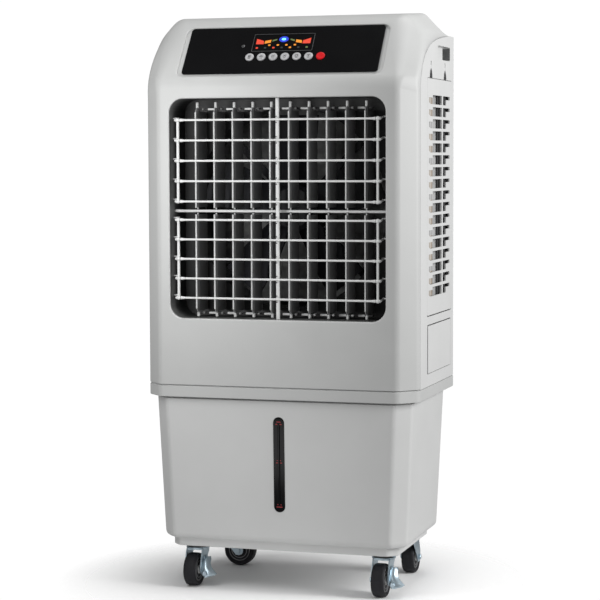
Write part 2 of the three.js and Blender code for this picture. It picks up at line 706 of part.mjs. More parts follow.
// A blade is a twisted, curved sheet between three radii.
function fanBlade(turn) {
  const sections = [
    { radius: FAN.hub - 4, chord: 62, pitch: 34 },
    { radius: 125, chord: 96, pitch: 24 },
    { radius: FAN.ring - 16, chord: 104, pitch: 17 },
  ];
  const rings = sections.map(({ radius, chord, pitch }) => {
    const lean = THREE.MathUtils.degToRad(pitch);
    const along = new THREE.Vector3(Math.cos(lean), Math.sin(lean), 0).multiplyScalar(chord / 2);
    const across = new THREE.Vector3(-Math.sin(lean), Math.cos(lean), 0).multiplyScalar(1.5);
    const centre = new THREE.Vector3(0, 0, radius);
    const corner = (a, b) => centre.clone().addScaledVector(along, a).addScaledVector(across, b);
    return [corner(-1, -1), corner(1, -1), corner(1, 1), corner(-1, 1)];
  });
  return skin(rings).rotateY(turn);
}

function makeFan() {
  const hub = turned([
    [MOTOR.shaft + GAP, FAN.front - FAN.centre],
    [FAN.hub - 8, FAN.front - FAN.centre],
    [FAN.hub, FAN.front - FAN.centre + 8],
    [FAN.hub, FAN.back - FAN.centre],
    [MOTOR.shaft + GAP, FAN.back - FAN.centre],
  ], 20);
  const blades = [];
  for (let index = 0; index < FAN.blades; index += 1) {
    blades.push(fanBlade((2 * Math.PI * index) / FAN.blades));
  }
  const bore = rod([0, -40, 0], [0, 40, 0], MOTOR.shaft + GAP, 20);
  const fan = place('fan', cut(join(hub, ...blades), bore), DARK_PLASTIC);
  fan.position.set(0, FAN.centre, FAN.axis);
}

// Four straps on the motor reach the back edge of the fan's ring.
function makeMotor() {
  const can = turned([
    [0, MOTOR.front],
    [MOTOR.radius - 4, MOTOR.front],
    [MOTOR.radius, MOTOR.front + 4],
    [MOTOR.radius, MOTOR.back - 6],
    [MOTOR.radius - 8, MOTOR.back],
    [0, MOTOR.back],
  ], 24);
  const shaft = rod([0, FAN.front + 4, 0], [0, MOTOR.front + 5, 0], MOTOR.shaft, 12);
  const arms = [];
  for (let arm = 0; arm < MOTOR.arms; arm += 1) {
    const span = [MOTOR.radius - 6, FAN.ring + WALL];
    const strap = block(span, [MOTOR.front, MOTOR.armBack], [-MOTOR.armHalf, MOTOR.armHalf]);
    arms.push(strap.rotateY((Math.PI / 2) * arm + Math.PI / 4));
  }
  place('fan_motor', join(can, shaft, ...arms).translate(0, 0, FAN.axis), DARK_PLASTIC);
}

// ---------------------------------------------------------------- cooling pads and water

function slotHoles(outlines, toPrism) {
  const tools = [];
  for (let row = 0; row < SLOT.rows; row += 1) {
    const low = SLOT.first + row * SLOT.pitch;
    for (const outline of outlines) {
      tools.push(toPrism(polygon(outline.map(([along, up]) => [along, low + up]))));
    }
  }
  return tools;
}

function makePadFrames() {
  const heights = [FRAME_BOTTOM, FRAME_TOP];
  for (const [name, span] of [['right', [SIDE - WALL, SIDE]], ['left', [-SIDE, -SIDE + WALL]]]) {
    const sheet = alongX(rectangle([SIDE_FRAME.front, SIDE_FRAME.back], heights, 3.6), span, 2);
    const through = (outline) => alongX(outline, [span[0] - 5, span[1] + 5]);
    place(`${name}_pad_frame`, cut(sheet, ...slotHoles(SIDE_SLOTS, through)), PALE_SHELL);
  }
  const sheet = alongY(rectangle([-REAR_FRAME, REAR_FRAME], heights, 3.6), [DEPTH - WALL, DEPTH], 2);
  const through = (outline) => alongY(outline, [DEPTH - WALL - 5, DEPTH + 5]);
  const rearSlots = REAR_COLUMNS.map(
    ([left, right]) => [[left, 0], [right, 0], [right, SLOT.tall], [left, SLOT.tall]],
  );
  place('rear_pad_frame', cut(sheet, ...slotHoles(rearSlots, through)), PALE_SHELL);
}

function makePads() {
  const heights = [PAD_BOTTOM, PAD_TOP];
  const depths = [SIDE_PAD.front, SIDE_PAD.back];
  place('right_pad', block([SIDE_PAD.inner, SIDE_PAD.outer], depths, heights), PAD_FIBRE);
  place('left_pad', block([-SIDE_PAD.outer, -SIDE_PAD.inner], depths, heights), PAD_FIBRE);
  const rearDepths = [REAR_PAD.front, REAR_PAD.back];
  place('rear_pad', block([-REAR_PAD.half, REAR_PAD.half], rearDepths, heights), PAD_FIBRE);
}

// A U-shaped trough over the three pads, with the riser pipe moulded on below it.
function makeDistributor() {
  const { bottom, top, inner, outer, front, back, chamfer, wall } = TRAY;
  const trough = (grow) => polygon([
    [-outer - grow, front - grow],
    [-inner + grow, front - grow],
    [-inner + grow, REAR_PAD.front - 6 - grow],
    [inner - grow, REAR_PAD.front - 6 - grow],
    [inner - grow, front - grow],
    [outer + grow, front - grow],
    [outer + grow, back - chamfer],
    [outer - chamfer, back + grow],
    [-outer + chamfer, back + grow],
    [-outer - grow, back - chamfer],
  ]);
  const channel = cut(alongZ(trough(0), [bottom, top]), alongZ(trough(-wall), [bottom + wall, top + 5]));
  const pipe = rod([RISER.x, RISER.y, RISER.bottom], [RISER.x, RISER.y, bottom + 1], RISER.radius, 12);
  const inlet = [RISER.bottom - 5, RISER.bottom + 20];
  const bore = rod([RISER.x, RISER.y, inlet[0]], [RISER.x, RISER.y, inlet[1]], RISER.bore, 12);
  place('water_distributor', cut(join(channel, pipe), bore), WHITE_PLASTIC);
}

function makePump() {
  const body = block(PUMP.x, PUMP.y, PUMP.z);
  const stub = rod([RISER.x, RISER.y, PUMP.z[1] - 4], [RISER.x, RISER.y, RISER.bottom + 12], PUMP.stub, 12);
  place('water_pump', join(body, stub), DARK_PLASTIC);
}

// ---------------------------------------------------------------- filler door

// The door tips outwards on its lower edge, and two cheeks behind it guide the water.
function makeFillerDoor() {
  const sheet = alongX(
    rectangle([DOOR.front + GAP, DOOR.back - GAP], [DOOR.bottom + 0.8, DOOR.top - GAP], 2.6),
    [SIDE - WALL, SIDE],
    2,
  );
  const cheek = polygon([
    [SIDE - WALL + 1, DOOR.bottom + 8],
    [SIDE - WALL + 1, DOOR.top - 9],
    [SIDE - 26, DOOR.top - 14],
    [SIDE - 40, DOOR.top - 34],
    [SIDE - 44, DOOR.bottom + 34],
    [SIDE - 38, DOOR.bottom + 12],
  ]);
  const apron = polygon([
    [SIDE - WALL + 1, DOOR.bottom + 8],
    [SIDE - WALL + 1, DOOR.bottom + 10.5],
    [SIDE - 38, DOOR.bottom + 14.5],
    [SIDE - 38, DOOR.bottom + 12],
  ]);
  const pieces = [sheet, alongY(apron, [DOOR.front + 9, DOOR.back - 9])];
  pieces.push(alongY(cheek, [DOOR.front + 8, DOOR.front + 10.5]));
  pieces.push(alongY(cheek, [DOOR.back - 10.5, DOOR.back - 8]));
  const door = place('filler_door', join(...pieces).translate(-DOOR_HINGE.x, 0, -DOOR_HINGE.z), PALE_SHELL);
  door.position.set(DOOR_HINGE.x, 0, DOOR_HINGE.z);
}

// ---------------------------------------------------------------- casters

// The fork is drawn about its swivel axis, with the wheel trailing towards -Y.
function forkShape() {
  const leg = polygon([
    [-FORK.trail - 11, WHEEL.radius - 6],
    [-FORK.trail - 6, WHEEL.radius - 11],
    [-FORK.trail + 6, WHEEL.radius - 11],
    [18, FORK.crown - 6],
    [18, FORK.crown + 3],
    [-FORK.trail + 2, FORK.crown + 3],
    [-FORK.trail - 11, WHEEL.radius + 10],
  ]);
  const outside = FORK.gap + FORK.leg;
  return join(
    alongX(leg, [FORK.gap, outside]),
    alongX(leg, [-outside, -FORK.gap]),
    block([-outside, outside], [-FORK.trail + 2, 18], [FORK.crown, FORK.crown + 3]),
    rod([0, 0, FORK.crown + 1], [0, 0, FORK.top], FORK.disc, 14),
    rod([-outside - 3, -FORK.trail, WHEEL.radius], [outside + 0.1, -FORK.trail, WHEEL.radius], FORK.axle, 8),
  );
}

function wheelShape() {
  const half = WHEEL.width / 2;
  const flat = WHEEL.radius / Math.cos(Math.PI / WHEEL.sides);
  const wheel = turned([
    [WHEEL.bore, -half + 0.5],
    [14, -half + 0.5],
    [26, -half + 3],
    [flat - 4, -half],
    [flat, -half + 5],
    [flat, half - 5],
    [flat - 4, half],
    [26, half - 3],
    [14, half - 0.5],
    [WHEEL.bore, half - 0.5],
  ], WHEEL.sides);
  return wheel.rotateY(Math.PI / WHEEL.sides).rotateZ(Math.PI / 2);
}

// A pressed pedal on the outside of one leg, with a tongue that flares outwards.
function pedalShape() {
  const plate = polygon([[-8, 8], [-11, -2], [-8, -16], [2, -18], [10, -8], [9, 7], [0, 11]]);
  const tongue = polygon([[0, -6], [2.5, -6], [5, -13], [12, -20], [23, -26], [22, -29], [9, -23], [1, -15]]);
  return join(alongX(plate, [0, 2.5]), alongY(tongue, [-16, 4]));
}

function makeCasters() {
  for (const caster of CASTERS) {
    const swivel = new THREE.Group();
    swivel.position.set(caster.x, caster.y, 0);
    swivel.rotation.z = THREE.MathUtils.degToRad(caster.turn);
    casing.add(swivel);
    place(`${caster.name}_fork`, forkShape(), ZINC, swivel);
    const wheel = place(`${caster.name}_wheel`, wheelShape(), RUBBER, swivel);
    wheel.position.set(0, -FORK.trail, WHEEL.radius);
    if (caster.brake) {
      const pedal = place(`${caster.name}_brake_pedal`, pedalShape(), ZINC, swivel);
      pedal.position.set(FORK.gap + FORK.leg + GAP, -8, 56);
    }
  }
}

// ---------------------------------------------------------------- assembly

makeFrontHousing();
makeRearHousing();
makeTank();
makeGauge();
makeControlPanel();
makeButtons();
makeShroud();
makeLouvreFrame();
makeVanes();
makeVaneLink();
makeGuideBars();
makeFan();
makeMotor();
makePadFrames();
makePads();
makeDistributor();
makePump();
makeFillerDoor();
makeCasters();

export default cooler;
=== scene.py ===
"""Evaporative cooler on casters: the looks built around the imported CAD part.

Dimensions are in millimetres. x is the row frame's x, z is the height above the floor, and y is
the distance behind the casing's front plane. spot() turns them into the row frame, in metres.
"""

import math

import bmesh
import bpy
from mathutils import Matrix, Vector
from mathutils.geometry import tessellate_polygon


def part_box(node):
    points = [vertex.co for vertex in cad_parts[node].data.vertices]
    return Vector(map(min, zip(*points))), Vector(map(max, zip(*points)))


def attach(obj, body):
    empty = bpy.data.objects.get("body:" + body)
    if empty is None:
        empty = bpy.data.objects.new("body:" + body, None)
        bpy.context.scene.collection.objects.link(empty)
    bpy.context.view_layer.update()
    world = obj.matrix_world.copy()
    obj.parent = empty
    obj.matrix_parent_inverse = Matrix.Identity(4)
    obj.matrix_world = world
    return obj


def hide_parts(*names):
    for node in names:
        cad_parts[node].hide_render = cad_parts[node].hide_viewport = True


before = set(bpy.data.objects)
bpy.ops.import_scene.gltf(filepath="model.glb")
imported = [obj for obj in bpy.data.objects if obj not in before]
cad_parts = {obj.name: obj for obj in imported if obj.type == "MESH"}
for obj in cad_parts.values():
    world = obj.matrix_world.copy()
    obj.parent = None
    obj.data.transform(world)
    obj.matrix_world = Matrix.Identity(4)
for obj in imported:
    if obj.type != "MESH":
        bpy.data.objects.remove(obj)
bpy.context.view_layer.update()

MM = 0.001
UP = Vector((0, 0, 1))

# The casing's outside, read from the frame, and the thickness of its sheet.
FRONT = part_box("front_housing")[0].y / MM
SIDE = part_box("front_housing")[1].x / MM
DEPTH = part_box("rear_housing")[1].y / MM - FRONT
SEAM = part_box("front_housing")[0].z / MM
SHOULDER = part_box("rear_housing")[1].z / MM
HOOD_BACK = 304
SHEET = 2.4

# Its upright corners. Each is a chamfer whose ends are rounded by a share of its width. The hood's
# front corners grow wider and rounder up the control slope.
FRONT_CORNER = 45
REAR_CORNER = 28
HEAD_CORNER = 68
CRISP = 0.18
ROUND = 0.414

# The control slope, the panel in its recess, the keys and the display.
SLOPE_FOOT = (9, 1072)
SLOPE_HEAD = (90, 1179)
SLOPE_TILT = math.atan2(SLOPE_HEAD[1] - SLOPE_FOOT[1], SLOPE_HEAD[0] - SLOPE_FOOT[0])
PANEL_CENTRE = (52.5, 1129.5)
PANEL = {"half": 210, "tall": 61, "corner": 7, "back": -4.1, "thick": 2.5}
PANEL_FACE = PANEL["back"] + PANEL["thick"]
RECESS = {"side": 10, "below": 8, "above": 0.7, "depth": 4.5}
KEYS = 7
KEY = {"radius": 9.2, "hole": 9.6, "pitch": 25.4, "first": -68.4, "up": -19}
DISPLAY = {"left": -67, "right": 62, "low": -3, "high": 41, "corner": 1.2, "border": 1}
SENSOR = (-88, 11)

# The air outlet, its vanes, and its guide bars: the height of each group's top bar and its pitch.
OUTLET = {"half": 231.5, "bottom": 575, "top": 1029, "corner": 30}
CROSS_BAR = (794, 799.6)
VANES = 10
VANE = {"pitch": 40.5, "pivot": 39, "front": 27, "back": 94.5, "thick": 1.6}
LINK = {"half": 190, "y": 62, "tall": 3.2, "upper": 1006.6, "lower": 581}
BARS = 5
BAR = {"y": 7, "pivot_back": 20, "pivot_up": 4}
BAR_GROUPS = {"upper": (985, 42), "lower": (779, 40.5)}
RAIL = (211.6, 216.4)

# The sides: pads, pad latches, dark plates painted as shade in the hand-holds, and the filler door.
PAD = {"low": 590, "high": 1060, "inner": 229, "face": 281.5, "rear_face": 362.6, "pitch": 2}
LATCHES = (136, 263)
LATCH_FOOT = 1069.6
DOOR = {"front": 112, "back": 317.6, "bottom": 461, "top": 559.4, "corner": 2.5, "thick": 2.8}
DROP = {"y": 208, "z": 493, "radius": 19, "tip": 58, "thick": 0.33}

# The tank, from the rim under the seam to the plinth, and its level window.
RIM_BOTTOM = 410
TANK_BOTTOM = 107
PLINTH_BOTTOM = 90
RIM = {"half": SIDE, "front": 0, "back": DEPTH, "corner": FRONT_CORNER, "rear": REAR_CORNER}
TANK_TOP = {"half": 278, "front": 13, "back": 352, "corner": 38, "rear": 38}
TANK_LOW = {"half": 265, "front": 21, "back": 342, "corner": 36, "rear": 36}
PLINTH = {"half": 246, "front": 34, "back": 322, "corner": 24, "rear": 24}
TANK_FALL = (TANK_LOW["front"] - TANK_TOP["front"]) / (RIM_BOTTOM - TANK_BOTTOM)
GAUGE = {"half": 12, "bottom": 174, "top": 373}

# The casters: where each stands, how far it is turned, and whether it has a brake.
WHEEL_RADIUS = 35
TRAIL = 25
SEAT_LEVEL = 87.4
PEDAL_PIVOT = Vector((19.1, -8, 56))
CASTERS = {
    "front_left": (-205, 88, 0, True),
    "front_right": (205, 88, 0, True),
    "rear_left": (-205, 296, 90, False),
    "rear_right": (205, 296, 180, False),
}

LOOKS = {}


def spot(x, y, z):
    """A point of the casing in the row frame, in metres."""
    return Vector((x, y + FRONT, z)) * MM


def link_new(name, data):
    """A new object in the scene."""
    made = bpy.data.objects.new(name, data)
    bpy.context.scene.collection.objects.link(made)
    return made


def oval(u, v, wide, tall, steps=24):
    """Points round (u, v), anticlockwise."""
    angles = [2 * math.pi * step / steps for step in range(steps)]
    return [(u + wide * math.cos(a), v + tall * math.sin(a)) for a in angles]


def share(value, start, end):
    """How far value has come on the way from start to end, from 0 to 1."""
    return min(max((value - start) / (end - start), 0), 1)


# ---------------- materials


def feed(tree, node, inputs):
    """Links sockets to a node's inputs, or sets the inputs to values."""
    for key, value in inputs.items():
        if isinstance(value, bpy.types.NodeSocket):
            tree.links.new(value, node.inputs[key])
        else:
            node.inputs[key].default_value = value


def add_node(tree, kind, inputs, **settings):
    node = tree.nodes.new(kind)
    for key, value in settings.items():
        setattr(node, key, value)
    feed(tree, node, inputs)
    return node


def shader_graph(name):
    """Starts a material and lists it in LOOKS."""
    material = bpy.data.materials.new(name)
    material.use_nodes = True
    LOOKS[name] = material
    tree = material.node_tree
    where = tree.nodes.new("ShaderNodeTexCoord").outputs["Object"]
    return tree, tree.nodes["Principled BSDF"], where


def noise_at(tree, where, scale, detail=2.0):
    inputs = {"Vector": where, "Scale": scale, "Detail": detail}
    return add_node(tree, "ShaderNodeTexNoise", inputs).outputs[0]


def blended(tree, factor, first, second, **settings):
    """The colour output that goes from first to second with factor."""
    ends = [end if isinstance(end, bpy.types.NodeSocket) else (*end, 1) for end in (first, second)]
    inputs = {0: factor, 6: ends[0], 7: ends[1]}
    return add_node(tree, "ShaderNodeMix", inputs, data_type="RGBA", **settings).outputs[2]


def ramp_between(tree, value, low, high):
    """0 below low, 1 above high."""
    inputs = {"Value": value, "From Min": low, "From Max": high}
    return add_node(tree, "ShaderNodeMapRange", inputs, clamp=True).outputs["Result"]


def grain(tree, where, scale, strength, distance=0.0004):
    """Fine moulded texture, as the normal output of a bump."""
    height = noise_at(tree, where, scale)
    inputs = {"Height": height, "Strength": strength, "Distance": distance}
    return add_node(tree, "ShaderNodeBump", inputs).outputs["Normal"]


def solid_look(
    name, first, second, roughness, mottle=14.0, bump=0.12, specular=0.5, metallic=0.0
):
    """A moulded or plated surface whose colour and roughness wander a little."""
    tree, shader, where = shader_graph(name)
    noise = noise_at(tree, where, mottle, 3.0)
    spread = {"Value": noise, "To Min": roughness - 0.04, "To Max": roughness + 0.04}
    rough = add_node(tree, "ShaderNodeMapRange", spread)
    tint = blended(tree, noise, first, second)
    feed(tree, shader, {"Base Color": tint, "Roughness": rough.outputs["Result"]})
    feed(tree, shader, {"Specular IOR Level": specular, "Metallic": metallic})
    if bump:
        feed(tree, shader, {"Normal": grain(tree, where, 1500.0, bump)})


def depth_shaded_look(name, start, end, first, second, roughness):
    """A moulded surface whose colour goes from first to second along the row frame's y, darker
    inwards: painted shade that deepens into the outlet.
    """
    tree, shader, where = shader_graph(name)
    y = add_node(tree, "ShaderNodeSeparateXYZ", {"Vector": where}).outputs["Y"]
    tint = blended(tree, ramp_between(tree, y, start, end), first, second)
    speck = blended(tree, noise_at(tree, where, 30.0), (0.94, 0.94, 0.94), (1, 1, 1))
    both = blended(tree, 1.0, tint, speck, blend_type="MULTIPLY")
    normal = grain(tree, where, 1200.0, 0.1)
    feed(tree, shader, {"Base Color": both, "Roughness": roughness, "Normal": normal})


def lamp_look(name, colour, glow):
    """A printed display segment with a light behind it, a little uneven."""
    tree, shader, where = shader_graph(name)
    noise = noise_at(tree, where, 220.0)
    pale = [0.94 * c + 0.06 * max(colour) for c in colour]
    lit = blended(tree, noise, colour, pale)
    unlit = blended(tree, noise, [0.2 * c for c in colour], [0.3 * c for c in colour])
    feed(tree, shader, {"Base Color": unlit, "Emission Color": lit, "Emission Strength": glow})
    feed(tree, shader, {"Roughness": 0.5, "Specular IOR Level": 0.1})


def pad_look():
    """Cellulose sheets: beige, then brown, then grey ones, and greyer behind every third slot."""
    tree, shader, where = shader_graph("pad_fibre")
    place = add_node(tree, "ShaderNodeSeparateXYZ", {"Vector": where}).outputs
    waves = {"Vector": where, "Scale": 60.0, "Distortion": 1.5}
    ribs = add_node(tree, "ShaderNodeTexWave", waves, bands_direction="Y").outputs["Fac"]
    beige = blended(tree, ribs, (0.44, 0.405, 0.365), (0.35, 0.32, 0.285))
    brown = blended(tree, ribs, (0.33, 0.275, 0.225), (0.26, 0.215, 0.175))
    grey = blended(tree, ribs, (0.42, 0.425, 0.425), (0.2, 0.2, 0.2))
    faded = blended(tree, ribs, (0.45, 0.45, 0.45), (0.28, 0.28, 0.28))
    band = add_node(tree, "ShaderNodeMath", {0: place["Z"], 1: 0.0744}, operation="MODULO")
    sheet = blended(tree, ramp_between(tree, place["Y"], -0.004, -0.002), beige, brown)
    sheet = blended(tree, ramp_between(tree, place["Y"], 0.006, 0.008), sheet, grey)
    sheet = blended(tree, ramp_between(tree, band.outputs[0], 0.023, 0.020), sheet, faded)
    normal = grain(tree, where, 600.0, 0.5, 0.001)
    feed(tree, shader, {"Base Color": sheet, "Roughness": 0.9, "Normal": normal})


def make_looks():
    solid_look("housing_grey", (0.46, 0.465, 0.46), (0.50, 0.505, 0.50), 0.42, specular=0.4)
    solid_look("side_grey", (0.55, 0.553, 0.55), (0.59, 0.593, 0.59), 0.45, specular=0.4)
    solid_look("tank_grey", (0.56, 0.564, 0.56), (0.60, 0.604, 0.60), 0.42, specular=0.4)
    dark = (0.003, 0.003, 0.0034), (0.005, 0.005, 0.0055)
    solid_look("panel_black", *dark, 0.14, bump=0, specular=0.1)
    dark = (0.0012, 0.0012, 0.0014), (0.003, 0.003, 0.0035)
    solid_look("glass_black", *dark, 0.1, bump=0, specular=0.16)
    # frame_grey is also the painted shade in the door's groove and at the louvre's notches.
    solid_look("frame_grey", (0.035, 0.036, 0.037), (0.055, 0.056, 0.058), 0.4)
    # A mid-dark grey for the hand-holds' back walls: painted shade.
    solid_look("grip_grey", (0.10, 0.10, 0.101), (0.13, 0.13, 0.131), 0.6)
    solid_look("dark_plastic", (0.02, 0.02, 0.021), (0.032, 0.032, 0.033), 0.6)
    # The duct and the vanes darken from the outlet's mouth inwards: painted shade.
    depth_shaded_look("duct_painted_shade", -0.184, -0.12, (0.16, 0.162, 0.16), (0.012, 0.012, 0.0125), 0.5)
    depth_shaded_look("vane_grey", -0.158, -0.10, (0.29, 0.292, 0.295), (0.20, 0.20, 0.203), 0.42)
    solid_look("guide_white", (0.60, 0.605, 0.60), (0.68, 0.685, 0.68), 0.4)
    solid_look("tray_white", (0.66, 0.66, 0.65), (0.72, 0.72, 0.71), 0.5)
    solid_look("motor_black", (0.02, 0.02, 0.02), (0.035, 0.035, 0.035), 0.4)
    solid_look("pump_black", (0.018, 0.018, 0.022), (0.03, 0.03, 0.034), 0.5)
    pad_look()
    solid_look("key_silver", (0.36, 0.36, 0.37), (0.47, 0.47, 0.48), 0.35, mottle=90.0)
    red = (0.66, 0.006, 0.010), (0.52, 0.004, 0.008)
    solid_look("key_red", *red, 0.4, mottle=60.0, specular=0.25)
    solid_look("print_dark", (0.03, 0.03, 0.03), (0.06, 0.06, 0.06), 0.6, bump=0)
    solid_look("mark_red", (0.36, 0.012, 0.016), (0.28, 0.01, 0.014), 0.45, bump=0)
    solid_look("zinc", (0.36, 0.46, 0.53), (0.54, 0.62, 0.67), 0.34, mottle=60.0, metallic=0.9)
    solid_look("wheel_rubber", (0.005, 0.005, 0.007), (0.010, 0.010, 0.013), 0.6, specular=0.3)
    solid_look("hub_grey", (0.14, 0.14, 0.145), (0.2, 0.2, 0.205), 0.5)
    lamp_look("lamp_red", (0.9, 0.07, 0.03), 0.75)
    lamp_look("lamp_orange", (0.95, 0.32, 0.02), 0.8)
    lamp_look("lamp_green", (0.25, 0.33, 0.12), 0.35)
    lamp_look("lamp_blue", (0.02, 0.05, 0.75), 0.8)
    lamp_look("lamp_cyan", (0.2, 0.8, 0.95), 1.3)
    lamp_look("lamp_dim", (0.09, 0.10, 0.10), 0.2)


# ---------------- shapes


def quads(rings, size, closed=True):
    """The faces between neighbouring rings of points that are numbered ring by ring."""
    faces = []
    for ring in range(rings - 1):
        for side in range(size if closed else size - 1):
            a = ring * size + side
            b = ring * size + (side + 1) % size
            faces.append([a, b, b + size, a + size])
    return faces


class Form:
    """The points and faces of one piece, in millimetres, each face with the number of its look."""

    def __init__(self):
        self.points = []
        self.faces = []
        self.looks = []

    def add(self, points, faces=(), look=0):
        """Adds points and the faces between them. Returns the number of the first point."""
        start = len(self.points)
        self.points.extend(Vector(p) for p in points)
        self.cover([[start + index for index in face] for face in faces], look)
        return start

    def cover(self, faces, look=0):
        """Adds faces over points that the form already has."""
        self.faces.extend(faces)
        self.looks.extend([look] * len(faces))

    def loft(self, rings, look=0, caps=True):
        """Skins closed rings of equal length, in order, and closes both ends."""
        size = len(rings[0])
        faces = quads(len(rings), size)
        if caps:
            faces.append(list(range(size - 1, -1, -1)))
            faces.append([(len(rings) - 1) * size + side for side in range(size)])
        self.add([p for ring in rings for p in ring], faces, look)

    def slab(self, outline, to_space, low, high, look=0):
        """A flat outline (u, v) made solid between two heights w of to_space(u, v, w)."""
        self.loft([[to_space(u, v, w) for u, v in outline] for w in (low, high)], look)

    def turned(self, profile, centre, axis, steps=24, look=0):
        """Turns a closed profile of (radius, distance along the axis)."""
        turn = Vector(axis).normalized().to_track_quat("Z", "Y")
        rings = []
        for x, y in oval(0, 0, 1, 1, steps):
            arm = Vector((x, y, 0))
            rings.append([Vector(centre) + turn @ (arm * r + UP * along) for r, along in profile])
        rings.append(rings[0])
        self.loft(rings, look, caps=False)

    def block(self, xs, ys, zs, look=0):
        plan = ((xs[0], ys[0]), (xs[1], ys[0]), (xs[1], ys[1]), (xs[0], ys[1]))
        self.loft([[(x, y, z) for x, y in plan] for z in zs], look)

    def rod(self, start, end, radius, sides=14, look=0, dome=0.0):
        """A round bar, its ends domed by a share of its radius."""
        along = Vector(end) - Vector(start)
        length = along.length
        rise = dome * radius
        shoulder = radius * 0.7
        profile = [(0, -rise), (shoulder, -rise * 0.7), (radius, 0)]
        profile += [(radius, length), (shoulder, length + rise * 0.7), (0, length + rise)]
        self.turned(profile, start, along, sides, look)

    def plate(self, loops, thick, to_space, bevel=0.5, look=0):
        """A flat plate with holes and rounded edges. loops are outlines in its plane, the first
        its outside. to_space(u, v, w) places it, with w from 0 at its back to thick in front."""
        curve = bpy.data.curves.new("outline", "CURVE")
        curve.dimensions = "2D"
        curve.fill_mode = "BOTH"
        curve.extrude = thick / 2 - bevel
        curve.bevel_depth = bevel
        curve.bevel_resolution = 1
        curve.offset = -bevel
        for loop in loops:
            spline = curve.splines.new("POLY")
            spline.points.add(len(loop) - 1)
            for point, (u, v) in zip(spline.points, loop):
                point.co = (u, v, 0, 1)
            spline.use_cyclic_u = True
        holder = link_new("outline", curve)
        depsgraph = bpy.context.evaluated_depsgraph_get()
        filled = bpy.data.meshes.new_from_object(holder.evaluated_get(depsgraph))
        points = [to_space(v.co.x, v.co.y, v.co.z + thick / 2) for v in filled.vertices]
        self.add(points, [list(face.vertices) for face in filled.polygons], look)
        bpy.data.objects.remove(holder)
        bpy.data.curves.remove(curve)
        bpy.data.meshes.remove(filled)

    def move(self, place):
        self.points = [place(p) for p in self.points]


def rounded(u0, u1, v0, v1, corner, steps=5):
    """The outline of a rectangle with round corners, anticlockwise."""
    centres = (
        (u1 - corner, v0 + corner), (u1 - corner, v1 - corner),
        (u0 + corner, v1 - corner), (u0 + corner, v0 + corner),
    )
    outline = []
    for quarter, (u, v) in enumerate(centres):
        for step in range(steps + 1):
            angle = math.pi / 2 * (quarter - 1 + step / steps)
            outline.append((u + corner * math.cos(angle), v + corner * math.sin(angle)))
    return outline


def bezier(a, b, c, steps):
    """Points of a quadratic curve after its first."""

    def at(t):
        return tuple((1 - t) ** 2 * p + 2 * t * (1 - t) * q + t * t * r for p, q, r in zip(a, b, c))

    return [at(step / steps) for step in range(1, steps + 1)]


def corner_section(rounding, steps=7):
    """The casing's corner of unit size, from the side wall at (0, 0) to the wall across it at
    (1, 1). It is a chamfer with rounded ends, or one round where rounding is ROUND."""
    blend = rounding * math.sqrt(0.5)
    chamfer_end = (1 - rounding - blend, 1 - blend)
    first = bezier((0, 0), (0, rounding), (blend, rounding + blend), steps)
    last = bezier(chamfer_end, (1 - rounding, 1), (1, 1), steps)
    return [(0, 0)] + first + [chamfer_end] + last


SECTION = corner_section(CRISP)


def plan_ring(plan, z, inset=0):
    """A level ring with the casing's corners, anticlockwise seen from above."""
    half, front, back = plan["half"] - inset, plan["front"] + inset, plan["back"] - inset
    corner, rear = plan["corner"] - inset, plan["rear"] - inset
    across = SECTION[::-1]
    ring = [(half - corner * u, front + corner * (1 - v), z) for u, v in across]
    ring += [(half - rear * u, back - rear * (1 - v), z) for u, v in SECTION]
    ring += [(-half + rear * u, back - rear * (1 - v), z) for u, v in across]
    ring += [(-half + corner * u, front + corner * (1 - v), z) for u, v in SECTION]
    return ring


def on_slope(u, v, w=0):
    """A point of the control slope: u to the right, v up the slope, w outwards."""
    y = PANEL_CENTRE[0] + v * math.cos(SLOPE_TILT) - w * math.sin(SLOPE_TILT)
    z = PANEL_CENTRE[1] + v * math.sin(SLOPE_TILT) + w * math.cos(SLOPE_TILT)
    return Vector((u, y, z))


def on_panel(u, v, w=0):
    """A point of the control panel, w outwards from its face."""
    return on_slope(u, v, PANEL_FACE + w)


SLOPE_NORMAL = on_slope(0, 0, 1) - on_slope(0, 0)


def on_tank(u, v, w=0):
    """A point of the tank's front: u to the right, v the height, w outwards."""
    return Vector((u, TANK_TOP["front"] + (RIM_BOTTOM - v) * TANK_FALL - w, v))


def along_x(start=0):
    """Places an outline of (y, z) that is carried along x."""
    return lambda y, z, w: Vector((start + w, y, z))


# ---------------- pieces


def shade(mesh, looks, smooth_below):
    for look in looks:
        mesh.materials.append(LOOKS[look])
    mesh.shade_smooth()
    mesh.set_sharp_from_angle(angle=math.radians(smooth_below))


def round_edges(piece, width, smooth_below):
    edges = piece.modifiers.new("edges", "BEVEL")
    edges.width = width * MM
    edges.segments = 2
    edges.limit_method = "ANGLE"
    edges.angle_limit = math.radians(smooth_below)
    return edges


def repair(mesh):
    """Merges doubled points and turns every face outwards."""
    work = bmesh.new()
    work.from_mesh(mesh)
    bmesh.ops.remove_doubles(work, verts=work.verts, dist=1e-7)
    bmesh.ops.dissolve_degenerate(work, edges=work.edges, dist=1e-7)
    bmesh.ops.recalc_face_normals(work, faces=work.faces)
    work.to_mesh(mesh)
    work.free()


